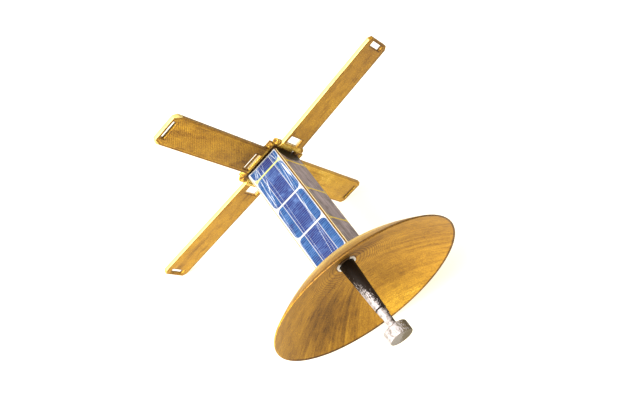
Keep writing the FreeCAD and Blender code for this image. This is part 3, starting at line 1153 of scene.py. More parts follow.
@dataclass(frozen=True)
class DishFinish(Finish):
    """Gold paint over a dish's layer lines, brushed one way in strokes that fan out a little, with
    painted shade and painted highlights round the rim, on the outer face and in zones.

    Attributes:
        radius: The dish's radius.
        vertex: The height of the inner face's vertex.
        layer: The height of a printed layer.
        bow: How much the inner face rises, over its distance from the axis squared.
        tone: How light the paint is, from 0 to 1.
        brushed: The way that the paint was brushed.
        from_lit_end: The way from the rim's lit end to its other end.
        lit_way: The way to the part of the outer face that has a painted highlight.
        mottle: How uneven the paint is.
        fan: How fast the strokes fan out, for each millimetre against the brushed way.
        groove: What the lines between layers add to the tone.
        broad: What the broad strokes add to it.
        fine: What the fine strokes add to it.
        rim_shade: What the painted shade round the rim's inner edge adds to it.
        rim_shade_low: The same painted shade on the rim's lower half.
        rim_highlight: What a painted highlight adds there instead, at the rim's lit end.
        outer: What the outer face has added to it.
        outer_highlight: The same where it has a painted highlight.
        zones: The lighter and darker zones: the paint's own patches, with painted shade and a
            painted highlight.
    """

    radius: float
    vertex: float
    layer: float
    bow: float
    tone: float = 0.68
    brushed: Triple = (0.945, -0.327, 0.0)
    from_lit_end: Triple = (0.867, -0.498, 0.0)
    lit_way: Triple = (0.498, 0.867, 0.0)
    mottle: float = 0.3
    fan: float = 1 / 12
    groove: float = -0.16
    broad: float = 0.44
    fine: float = -0.18
    rim_shade: float = -0.34
    rim_shade_low: float = -0.22
    rim_highlight: float = 0.12
    outer: float = -0.04
    outer_highlight: float = 0.2
    zones: tuple[Zone, ...] = DISH_PATCHES_AND_PAINTED_LIGHT

    def draw(self, work: Paintwork) -> bpy.types.Material:
        """Wire the finish up.

        Args:
            work: The empty material.

        Returns:
            The finished material.
        """
        x, y, z = work.split(work.position)
        from_axis = work.vector("LENGTH", work.join(x, y))
        along = work.run(self.brushed)
        across = work.run((-self.brushed[1], self.brushed[0], 0.0))
        fan = work.added(1.0, (work.smallest(along, 0.0), -self.fan))
        course = work.join(along, work.over(across, fan))
        broad_patches, fine_patches, fine_level = (0.045, 0.8, 1.0), (0.45, 4.5, 1.0), (0.53, 0.66)
        broad = work.noise(course, broad_patches, 4.0, 0.6)
        fine = work.noise(course, fine_patches, 4.0, 0.7)
        from_vertex = work.vector("SUBTRACT", work.position, (0.0, 0.0, self.vertex))
        layers = work.use(
            print_roads(), Position=from_vertex, Across=UPWARD, Pitch=self.layer, Wander=0.0
        )
        inner_face = work.span(z, self.vertex, self.vertex + 0.02)
        rim = work.times(work.span(from_axis, self.radius - 0.55, self.radius - 0.3), inner_face)
        # Painted shade round the rim, and a painted highlight at its lit end instead.
        lit_end_reach, lit_side_reach, outer_reach = (-8.0, -22.0), (-6.0, 12.0), (0.1, 0.2)
        at_lit_end = work.span(work.run(self.from_lit_end), *lit_end_reach)
        rim_shade_and_highlight = work.slide(at_lit_end, self.rim_shade_low, self.rim_highlight)
        rim_tone = work.slide(work.span(y, *lit_side_reach), self.rim_shade, rim_shade_and_highlight)
        height = work.added(self.vertex, (work.times(from_axis, from_axis), self.bow))
        behind = work.span(work.minus(height, z), *outer_reach)
        # A painted highlight on the outer face, on its side towards the light, paler still where
        # the strokes are.
        lit_band_edge, lit_band_rise = (23.5, 18.5), (4.0, 17.0)
        lit_band = work.times(
            work.span(from_axis, *lit_band_edge), work.span(work.run(self.lit_way), *lit_band_rise)
        )
        tone = work.added(
            self.tone,
            (layers["Groove"], self.groove),
            (work.minus(broad, 0.5), self.broad),
            (work.span(fine, *fine_level), self.fine),
            *((self.zone_mask(work, zone, along, across, broad), zone.tone) for zone in self.zones),
            (rim, rim_tone),
            (behind, work.slide(lit_band, self.outer, self.outer_highlight)),
        )
        paint = work.use(gold_paint(), Position=work.position, Tone=tone, Mottle=self.mottle)
        strongest_highlight, paint_relief = 0.6, 0.03
        pale = work.times(work.times(behind, lit_band), work.slide(broad, 0.0, strongest_highlight))
        color = work.blend(pale, paint["Color"], DISH_HIGHLIGHT_STRAW)
        return work.gilt(work.times(paint["Height"], paint_relief), color, paint["Roughness"])

    def zone_mask(
        self, work: Paintwork, zone: Zone, along: Socket, across: Socket, broad: Socket
    ) -> Socket:
        """A mask of a zone, ragged at its sides.

        Args:
            work: The material.
            zone: The zone.
            along: How far the surface is along the brushed way.
            across: How far it is across that way.
            broad: The strokes that break up the zone's sides.

        Returns:
            The mask.
        """
        over_x = work.over(work.minus(along, zone.along), zone.length)
        over_y = work.over(work.minus(across, zone.across), zone.width)
        away = work.vector("LENGTH", work.join(over_x, over_y))
        outside, full = 1.1, 0.2
        return work.span(work.plus(away, work.minus(broad, 0.5)), outside, full)


@dataclass(frozen=True)
class CardInk:
    """The colours of a card's print, and the way its streaks run.

    Attributes:
        column: A cell's middle column.
        flank: A cell's outer columns.
        pale: Light streaks in a cell.
        deep: Dark streaks in a cell.
        gap: The lines between cells.
        first_gap: The line nearest to the rear.
        border: The border outside the cells.
        streaks: The streaks' patches per millimetre, across and along the card.
        fingers: How strongly the fine lines across the cells show.
    """

    column: Color
    flank: Color
    pale: Color
    deep: Color
    gap: Color
    first_gap: Color
    border: Color
    streaks: Triple
    fingers: float


@dataclass(frozen=True)
class Crack:
    """A straight crack in a card's print, from one point across and along the card to another."""

    start: Pair
    end: Pair
    half_width: float = 0.045


@dataclass(frozen=True)
class CardFinish(Finish):
    """A printed card of solar cells under a satin coat, cracked and worn at its edges, and darkened
    at its rear by a painted shadow of the hinge.

    Attributes:
        ink: The print's colours.
        first_gap: The first gap between cells, from the body's rear end.
        wear: How much of the print is worn off at the edges.
        seed: Shifts the wear's pattern.
        shadow_reach: How far the painted shadow of the hinge reaches from the rear.
        cracks: The cracks that run over it.
        gap: The width of the lines between cells.
        half_width: The card's half width.
        length: The card's length.
        rear: The card's rear edge.
        face: How far the card's outer face is from the body's axis.
        margin: How far in from the card's long edges the cells start.
        off_middle: How far the print is off the card's middle.
        busbar: How strongly the busbars show.
    """

    ink: CardInk
    first_gap: float
    wear: float
    seed: float
    shadow_reach: float = 0.0
    cracks: tuple[Crack, ...] = ()
    gap: float = 0.38
    half_width: float = 4.75
    length: float = 31.55
    rear: float = 0.2
    face: float = 5.2
    margin: float = 0.28
    off_middle: float = 0.1
    busbar: float = 0.9

    def draw(self, work: Paintwork) -> bpy.types.Material:
        """Wire the finish up.

        Args:
            work: The empty material.

        Returns:
            The finished material.
        """
        outward, across, along = work.split(work.position)
        flat = work.join(across, along)
        shifted = work.vector("ADD", flat, (self.seed, self.seed, 0.0))
        inset = work.minus(self.half_width, work.math("ABSOLUTE", across))
        color = self.print_color(work, flat, shifted, along, inset)
        scratch_patches, unworn_level, worn_level, soft = (2.4, 0.35, 1.0), 0.74, 0.5, 0.04
        scratches = work.noise(shifted, scratch_patches, 5.0, 0.75)
        side_border, rear_border = (1.6, 0.0), (3.0, 0.2)
        at_border = work.largest(work.span(inset, *side_border), work.span(along, *rear_border))
        level = work.slide(work.times(at_border, self.wear), unworn_level, worn_level)
        scratched = work.largest(
            work.span(scratches, level, work.plus(level, soft)),
            *(self.crack_mask(work, flat, crack, scratches) for crack in self.cracks),
        )
        color = work.blend(scratched, color, SCRATCH_WHITE)
        # A painted shadow of the hinge over the card's rear, near-black, bowed and ragged at its
        # edge.
        bow, ragged, shadow_edge = 0.07, 1.4, (0.9, 0.3)
        stain = work.added(along, (work.times(across, across), bow), (scratches, ragged))
        color = work.blend(work.span(work.minus(stain, self.shadow_reach), *shadow_edge), color, SHADOW_BLACK)
        below_face = work.span(outward, self.face - 0.05, self.face - 0.1)
        color = work.blend(below_face, color, CARD_EDGE)
        relief, satin, worn = 0.03, 0.45, 0.7
        return work.surface(
            work.times(scratches, relief), Base_Color=color,
            Roughness=work.slide(scratched, satin, worn), Specular_IOR_Level=0.12,
        )

    def print_color(
        self, work: Paintwork, flat: Socket, shifted: Socket, along: Socket, inset: Socket
    ) -> Socket:
        """The unworn print: the cells, the lines between them, the border and the busbars.

        Args:
            work: The material.
            flat: The position across and along the card.
            shifted: That position, shifted by the seed.
            along: How far along the body the surface is.
            inset: How far in from the card's long edges it is.

        Returns:
            The colour.
        """
        sizes = {"First Gap": self.first_gap, "Half Width": self.half_width - self.margin}
        position = work.vector("ADD", flat, (self.off_middle, 0.0, 0.0))
        cells = work.use(solar_cells(), Position=position, Gap=self.gap, **sizes)
        first_reach, border_reach = (0.6, 0.4), (0.4, 0.2)
        near_first = work.span(work.off(along, self.first_gap), *first_reach)
        line = work.blend(near_first, self.ink.gap, self.ink.first_gap)
        line = work.blend(work.span(inset, *border_reach), line, self.ink.border)
        rear_edge = work.span(along, self.rear + 0.35, self.rear + 0.2)
        inked = work.minus(cells["Cell"], rear_edge, clamp=True)
        color = work.blend(inked, line, self.cell_ink(work, cells, along, shifted))
        return work.blend(work.times(cells["Bus"], self.busbar), color, self.ink.border)

    def cell_ink(
        self, work: Paintwork, cells: Sockets, along: Socket, shifted: Socket
    ) -> Socket:
        """The cells' colour: two tones, clouded and streaked, and deepest at the rear, where
        painted shade of the hinge lies over the dark print.

        Args:
            work: The material.
            cells: The masks of the cells' parts.
            along: How far along the body the surface is.
            shifted: The position across and along the card, shifted by the seed.

        Returns:
            The colour.
        """
        clouds = work.noise(shifted, 0.28, 4.0, 0.6)
        streaks = work.noise(shifted, self.ink.streaks, 4.0, 0.6)
        # Painted shade of the hinge over the dark print, in the middle column before the first gap.
        rear = work.times(work.span(along, self.first_gap - 0.5, self.first_gap - 2.5), 0.7)
        color = work.blend(cells["Column"], self.ink.flank, self.ink.column)
        pale, deep = self.ink.pale, self.ink.deep
        for first, second, ink in (
            (rear, cells["Column"], deep),
            (work.span(streaks, 0.5, 0.66), work.slide(clouds, 0.1, 0.9), pale),
            (work.span(streaks, 0.52, 0.36), work.slide(clouds, 0.95, 0.4), deep),
            (work.span(clouds, 0.5, 0.32), 0.6, deep),
            (work.span(clouds, 0.52, 0.7), 0.5, pale),
            (cells["Finger"], self.ink.fingers, pale),
        ):
            color = work.blend(work.times(first, second), color, ink)
        return color

    def crack_mask(self, work: Paintwork, flat: Socket, crack: Crack, scratches: Socket) -> Socket:
        """A mask of a crack, thinning out at both ends.

        Args:
            work: The material.
            flat: The position across and along the card.
            crack: The crack.
            scratches: The noise that the crack wanders by.

        Returns:
            The mask.
        """
        start, end = Vector((*crack.start, 0.0)), Vector((*crack.end, 0.0))
        half = (end - start).length / 2
        way = (end - start).normalized()
        offset = work.vector("SUBTRACT", flat, tuple((start + end) / 2))
        run = work.math("ABSOLUTE", work.vector("DOT_PRODUCT", offset, tuple(way)))
        away = work.vector("DOT_PRODUCT", offset, (-way.y, way.x, 0.0))
        ragged, full_share, soft = 0.35, 0.3, 0.04
        wander = work.times(work.minus(scratches, 0.5), ragged)
        away = work.math("ABSOLUTE", work.plus(away, wander))
        width = work.slide(work.span(run, half, full_share * half), 0.0, crack.half_width)
        return work.span(away, work.plus(width, soft), width)


@dataclass(frozen=True)
class SilverFinish(Finish):
    """A feed piece, dry-brushed with silver over near-black paint, mostly from the side towards the
    light, where the extra silver is partly a painted highlight.

    Attributes:
        start: The height where the silver starts.
        full: The height where it covers as much as it does.
        least: How much it covers at the start.
        most: How much it covers at full.
        lit_side_bias: How much more it covers on the side towards the light, partly a painted
            highlight.
        brushed: The way that the side towards the light faces, where the silver is brushed on most.
        silver: The silver's colour.
        dull: The silver's colour where it is dull.
        ground: The colour of the paint under it.
        front: The height of the front face, which is duller, or far off.
    """

    start: float
    full: float
    least: float
    most: float
    lit_side_bias: float = 0.3
    brushed: Triple = (-0.75, 0.66, 0.0)
    silver: Color = (0.54, 0.51, 0.54, 1.0)
    dull: Color = (0.14, 0.118, 0.095, 1.0)
    ground: Color = (0.014, 0.009, 0.007, 1.0)
    front: float = 100.0

    def draw(self, work: Paintwork) -> bpy.types.Material:
        """Wire the finish up.

        Args:
            work: The empty material.

        Returns:
            The finished material.
        """
        _, _, height = work.split(work.position)
        cover = work.slide(work.span(height, self.start, self.full), self.least, self.most)
        # More silver on the side towards the light, partly a painted highlight.
        cover = work.added(cover, (work.facing(self.brushed), self.lit_side_bias))
        brush = work.use(dry_brush(), Position=work.position, Cover=cover)
        tint_level, front_dullness = (0.3, 0.8), 0.85
        tint = work.span(work.noise(work.position, 1.2), *tint_level)
        at_front = work.span(height, self.front - 0.2, self.front - 0.1)
        silver = work.blend(work.slide(at_front, tint, front_dullness), self.silver, self.dull)
        ground_relief, silver_relief, silver_metal = 0.06, 0.02, 0.3
        relief = work.times(brush["Height"], ground_relief)
        return work.surface(
            work.added(relief, (brush["Silver"], silver_relief)),
            Base_Color=work.blend(brush["Silver"], self.ground, silver),
            Roughness=work.slide(brush["Silver"], 0.6, 0.4),
            Metallic=work.times(brush["Silver"], silver_metal), Specular_IOR_Level=0.25,
        )


@dataclass(frozen=True)
class BarePlasticFinish(Finish):
    """Bare white printed plastic, slightly stained, with painted shade in dark brown over one side.

    Attributes:
        color: The plastic's colour.
        stain: The colour of its stains.
        paint: The dark brown of the painted shade.
        painted: The way that the side with painted shade faces.
    """

    color: Color = (1.0, 0.99, 0.98, 1.0)
    stain: Color = (0.42, 0.30, 0.16, 1.0)
    paint: Color = (0.09, 0.045, 0.014, 1.0)
    painted: Triple = (0.34, 0.94, 0.0)

    def draw(self, work: Paintwork) -> bpy.types.Material:
        """Wire the finish up.

        Args:
            work: The empty material.

        Returns:
            The finished material.
        """
        stain_level, stain_depth, ragged, shade_level = (0.55, 0.8), 0.5, 0.3, (0.86, 1.0)
        stains = work.span(work.noise(work.position, 1.6), *stain_level)
        color = work.blend(work.times(stains, stain_depth), self.color, self.stain)
        grains = work.noise(work.position, 5.0, 2.0)
        # Painted shade on the side that faces that way, ragged at its edge.
        facing = work.added(work.facing(self.painted), (grains, ragged))
        run = work.span(facing, *shade_level)
        relief, smoothest, roughest = 0.04, 0.4, 0.6
        return work.surface(
            work.times(grains, relief), Base_Color=work.blend(run, color, self.paint),
            Roughness=work.slide(grains, smoothest, roughest),
        )


# ---- The body, its hinges and its cards ----


@dataclass
class Chassis:
    """The square body, the rear plate with its ears, and the hinge pins."""

    model: ModelFrame
    body_half: float = 5.0
    body_length: float = 32.05
    body_bevel: float = 0.25
    plate_bevel: float = 0.3
    hinge_reach: float = 6.5
    hinge_drop: float = 0.6
    ear_radius: float = 0.82
    ear_start: float = 4.35
    ear_end: float = 5.85
    bore_radius: float = 0.37
    pin_radius: float = 0.35
    edge_round: float = 0.1

    def build(self) -> None:
        """Make and place every piece of the chassis."""
        self.make_core()
        self.make_hinge_frame()
        for side in Side:
            self.make_pin(side)

    def make_core(self) -> None:
        """The body: a block with rounded long edges."""
        half, length = self.body_half, self.body_length
        core = block("painted_body_core", (-half, -half, 0), (half, half, length))
        bevel_upright(core, self.body_bevel, 3)
        place = self.model.side_place(Side.UPPER_LEFT)
        # The body shows only as strips beside the cards: its dark tone is painted shade in those
        # narrow gaps, and its lighter edges are a painted highlight on its rounded corners.
        finish = GoldFinish(tone=0.16, mottle=0.3, high=(half, half, length), edge_highlight=0.35)
        dress(core, finish.make("gold_body", place))
        settle(core, place, "body_core", self.model)

    def make_ear(self) -> bpy.types.Object:
        """One ear of the +X side: a round knuckle on a square arm.

        Returns:
            The ear.
        """
        width = self.ear_end - self.ear_start
        knuckle = rod("ear", self.ear_radius, width / 2)
        round_edges(knuckle, self.edge_round)
        middle = Vector((self.hinge_reach, (self.ear_start + self.ear_end) / 2, -self.hinge_drop))
        knuckle.data.transform(Matrix.Translation(middle))
        arm_low = (self.ear_start, self.ear_start, -2 * self.hinge_drop)
        arm = block("ear_arm", arm_low, (self.hinge_reach, self.ear_end, 0))
        round_edges(arm, self.edge_round)
        combine(knuckle, [arm], Cut.UNITE)
        return knuckle

    def make_hinge_frame(self) -> None:
        """The rear plate with two ears on each side, bored for the pins."""
        half, thickness = self.body_half, self.model.plate_thickness
        plate = block("painted_hinge_frame", (-half, -half, -thickness), (half, half, 0))
        bevel_upright(plate, self.plate_bevel, 1)
        round_edges(plate, self.edge_round)
        ear = self.make_ear()
        ears, bores = [], []
        for index, side in enumerate(Side):
            turn = Matrix.Rotation(index * QUARTER_TURN, 4, "Z")
            for end, flip in (("far", 1), ("near", -1)):
                mirror = Matrix.Diagonal((1, flip, 1, 1))
                ears.append(copy_of(ear, f"ear_{side.value}_{end}", turn @ mirror))
                if flip < 0:
                    ears[-1].data.flip_normals()
            bore = rod(f"bore_{side.value}", self.bore_radius, self.ear_end + OVERSHOOT)
            bore.data.transform(turn @ Matrix.Translation((self.hinge_reach, 0, -self.hinge_drop)))
            bores.append(bore)
        bpy.data.objects.remove(ear)
        combine(plate, ears, Cut.UNITE)
        combine(plate, bores, Cut.REMOVE)
        place = self.model.side_place(Side.UPPER_LEFT)
        # The plate and the ears' roots stay dark, painted shade in the gaps by the body; the ears
        # are lighter beyond the body's square.
        finish = GoldFinish(tone=0.18, mottle=1.3, outside=0.5)
        dress(plate, finish.make("gold_hinge_frame", place))
        settle(plate, place, "hinge_frame", self.model)

    def make_pin(self, side: Side) -> None:
        """A hinge pin with rounded ends.

        Args:
            side: The side whose paddle turns on it.
        """
        pin = rod(f"painted_hinge_pin_{side.value}", self.pin_radius, self.ear_end, 24)
        round_edges(pin, self.edge_round)
        place = self.model.paddle_place(side)
        dress(pin, GoldFinish(tone=0.35, mottle=0.4).make(f"gold_pin_{side.value}", place))
        settle(pin, place, f"hinge_pin_{side.value}", self.model)


@dataclass
class SolarCard:
    """A printed card on one side of the body, trimmed by hand and not quite flat."""

    model: ModelFrame
    side: Side
    finish: CardFinish
    body_half: float = 5.0
    thickness: float = 0.2
    cockle: float = 0.05
    trim: float = 0.08
    curl: float = 0.0
    curl_reach: float = 3.0

    def build(self) -> None:
        """Make and place the card."""
        face, top = self.body_half, self.body_half + self.thickness
        half, rear, length = self.finish.half_width, self.finish.rear, self.finish.length
        card = block(
            f"printed_card_{self.side.value}", (face, -half, rear), (top, half, rear + length)
        )
        across, along = 13, 45
        with editing(card):
            slice_at(Axis.Y, [half * (2 * step / across - 1) for step in range(1, across)])
            slice_at(Axis.Z, [rear + length * step / along for step in range(1, along)])
        self.loosen(card, top, half, rear)
        place = self.model.side_place(self.side)
        dress(card, self.finish.make(f"card_print_{self.side.value}", place))
        settle(card, place, f"solar_card_{self.side.value}", self.model)

    def loosen(self, card: bpy.types.Object, top: float, half: float, rear: float) -> None:
        """Cockle the card's outer face, trim its long edges unevenly and curl one corner.

        Args:
            card: The card.
            top: The height of its outer face above the body's axis.
            half: Its half width.
            rear: Its rear edge.
        """
        outer, sides, corner = (
            card.vertex_groups.new(name=name) for name in ("outer", "sides", "corner")
        )
        near = 0.01
        for vertex in card.data.vertices:
            if vertex.co.x > top - near:
                outer.add([vertex.index], 1.0, "REPLACE")
            if abs(vertex.co.y) > half - near:
                sides.add([vertex.index], 1.0, "REPLACE")
            away = math.hypot(vertex.co.y - half, vertex.co.z - rear) / self.curl_reach
            if away < 1:
                corner.add([vertex.index], (1 - away) ** 2, "REPLACE")
        ripple(card, size=4.0, depth=self.cockle, direction="X", group="outer")
        ripple(card, size=1.5, depth=self.trim, direction="Y", group="sides")
        if self.curl:
            apply_modifier(
                card, "DISPLACE", strength=self.curl, mid_level=0.0, direction="X",
                vertex_group="corner",
            )
        card.vertex_groups.clear()


# ---- The paddles ----


@dataclass
class Paddle:
    """A slotted paddle with its hinge barrel and the heel that stops it."""

    model: ModelFrame
    side: Side
    finish: PaddleFinish
    barrel_radius: float = 0.85
    bore_radius: float = 0.41
    heel_length: float = 1.47
    heel_top: float = -0.3
    edge_round: float = 0.13

    def build(self) -> None:
        """Make and place the paddle."""
        lean = self.model.lean(self.side)
        half = self.finish.blade.half_width
        paddle = self.make_blade()
        paddle.data.transform(lean)
        barrel = rod("barrel", self.barrel_radius, half, 48)
        round_edges(barrel, self.edge_round)
        heel_half = half - self.finish.blade.root_corner
        heel_low = (-self.heel_length, -heel_half, -self.barrel_radius)
        heel = block("heel", heel_low, (0, heel_half, self.heel_top))
        round_edges(heel, self.edge_round / 2)
        bore = rod("bore", self.bore_radius, half + OVERSHOOT)
        combine(paddle, [barrel, heel], Cut.UNITE)
        combine(paddle, [bore], Cut.REMOVE)
        place = self.model.paddle_place(self.side)
        dress(paddle, self.finish.make(f"gold_paddle_{self.side.value}", place @ lean))
        settle(paddle, place, f"paddle_{self.side.value}", self.model)

    def make_blade(self) -> bpy.types.Object:
        """The blade: a flat bar with cut corners and two slots, its edges rounded.

        Returns:
            The blade.
        """
        sizes = self.finish.blade
        half, length, root = sizes.half_width, sizes.length, sizes.root_corner
        corner_length, corner_width = sizes.corner
        low, high = (0, -half, sizes.low), (length, half, sizes.high)
        blade = block(f"painted_paddle_{self.side.value}", low, high)
        with editing(blade):
            for side in (1, -1):
                tip_normal = (corner_width, side * corner_length, 0)
                cut_off((length, side * (half - corner_width), 0), tip_normal)
                cut_off((0, side * (half - root), 0), (-root, side * root, 0))
            slice_at(Axis.X, [place for slot in sizes.slots for place in slot[:2]])
            slice_at(Axis.Y, [place for slot in sizes.slots for place in slot[2:]])
            for slot in sizes.slots:
                self.open_slot(blade, slot)
        round_edges(blade, self.edge_round, angle=20)
        return blade

    def open_slot(self, blade: bpy.types.Object, slot: Slot) -> None:
        """Cut a slot through the blade in edit mode.

        Args:
            blade: The blade, already sliced along the slot's sides.
            slot: Where the slot starts and ends along the blade, and across it.
        """
        start, end, near, far = slot

        def in_slot(middle: Vector, normal: Vector) -> bool:
            """Whether a face of the front or the rear covers the slot."""
            flat = abs(normal.z) > 0.9
            return flat and start < middle.x < end and near < middle.y < far

        pick_faces(blade, in_slot)
        bpy.ops.mesh.delete(type="FACE")
        bpy.ops.mesh.select_mode(type="EDGE")
        bpy.ops.mesh.select_non_manifold(extend=False, use_wire=False, use_non_contiguous=False)
        bpy.ops.mesh.bridge_edge_loops()


# ---- The dish and its feed ----


@dataclass
class Dish:
    """The dish: a turned wall whose inner face shows its printed layers, on a square seat."""

    model: ModelFrame
    radius: float = 24.9
    focal_length: float = 17.4
    thickness: float = 1.0
    vertex: float = 33.15
    seat_half: float = 4.8
    seat_face: float = 32.05
    seat_top: float = 32.85
    seat_round: float = 0.1
    hole_radius: float = 1.97
    recess_radius: float = 2.77
    recess_floor: float = 32.95
    layer: float = 0.12
    scallop: float = 0.075
    deepest: float = 0.03
    rim_round: float = 0.16
    rim_thickness: float = 0.45
    rim_taper: float = 14.0
    back_stations: int = 30
    segments: int = 144

    def height(self, radius: float) -> float:
        """The height of the inner face at a radius."""
        return self.vertex + radius**2 / (4 * self.focal_length)

    def build(self) -> None:
        """Make and place the dish and its seat."""
        finish = DishFinish(self.radius, self.vertex, self.layer, 1 / (4 * self.focal_length))
        place = self.model.side_place(Side.UPPER_LEFT)
        material = finish.make("gold_dish", place)
        foot = [(self.hole_radius, self.recess_floor), (self.recess_radius, self.recess_floor)]
        profile = foot + self.inner_profile() + self.rim_profile() + self.outer_profile()
        wall = turned("painted_dish", profile, self.segments, ring=True)
        dress(wall, material)
        settle(wall, place, "dish", self.model)
        half, low, high = self.seat_half, self.seat_face, self.seat_top
        seat = block("painted_dish_seat", (-half, -half, low), (half, half, high))
        round_edges(seat, self.seat_round)
        hole = rod("hole", self.hole_radius, high - low + OVERSHOOT, self.segments)
        upright = Matrix.Rotation(QUARTER_TURN, 4, "X")
        hole.data.transform(Matrix.Translation((0, 0, low)) @ upright)
        combine(seat, [hole], Cut.REMOVE)
        dress(seat, material)
        settle(seat, place, "dish", self.model)

    def inner_profile(self) -> list[Pair]:
        """The inner face from the recess to the rim, rounded out over each printed layer.

        Returns:
            Its corners as (radius, height).
        """
        corners = [(self.recess_radius, self.height(self.recess_radius))]
        first = (corners[0][1] - self.vertex) / self.layer
        last = (self.height(self.radius - self.rim_round) - self.vertex) / self.layer
        per_layer = 4
        for step in range(math.ceil(first * per_layer), math.floor(last * per_layer)):
            layers = step / per_layer
            radius = math.sqrt(4 * self.focal_length * self.layer * layers)
            spacing = 2 * self.focal_length * self.layer / radius
            swell = min(self.scallop * spacing, self.deepest) * abs(math.sin(math.pi * layers))
            slope = math.atan2(radius, 2 * self.focal_length)
            height = self.height(radius) + swell * math.cos(slope)
            corners.append((radius - swell * math.sin(slope), height))
        return corners

    def rim_profile(self) -> list[Pair]:
        """The rim, rounded at both its edges.

        Returns:
            Its corners as (radius, height).
        """
        top = self.height(self.radius)
        bottom = top - self.rim_thickness
        edge = self.rim_round
        share = 0.3 * edge
        return [
            (self.radius - edge, self.height(self.radius - edge)),
            (self.radius - share, top - share),
            (self.radius, top - edge),
            (self.radius, bottom + edge),
            (self.radius - share, bottom + share),
        ]

    def outer_profile(self) -> list[Pair]:
        """The outer face from the rim to the hole for the mast.

        Returns:
            Its corners as (radius, height).
        """
        reach = self.radius - self.rim_round - self.hole_radius
        stations = self.back_stations
        rounds = [self.hole_radius + reach * step / stations for step in range(stations, -1, -1)]
        thinner = self.thickness - self.rim_thickness
        share = [max(0.0, 1 - (self.radius - radius) / self.rim_taper) for radius in rounds]
        return [
            (radius, self.height(radius) - self.thickness + thinner * part)
            for radius, part in zip(rounds, share)
        ]


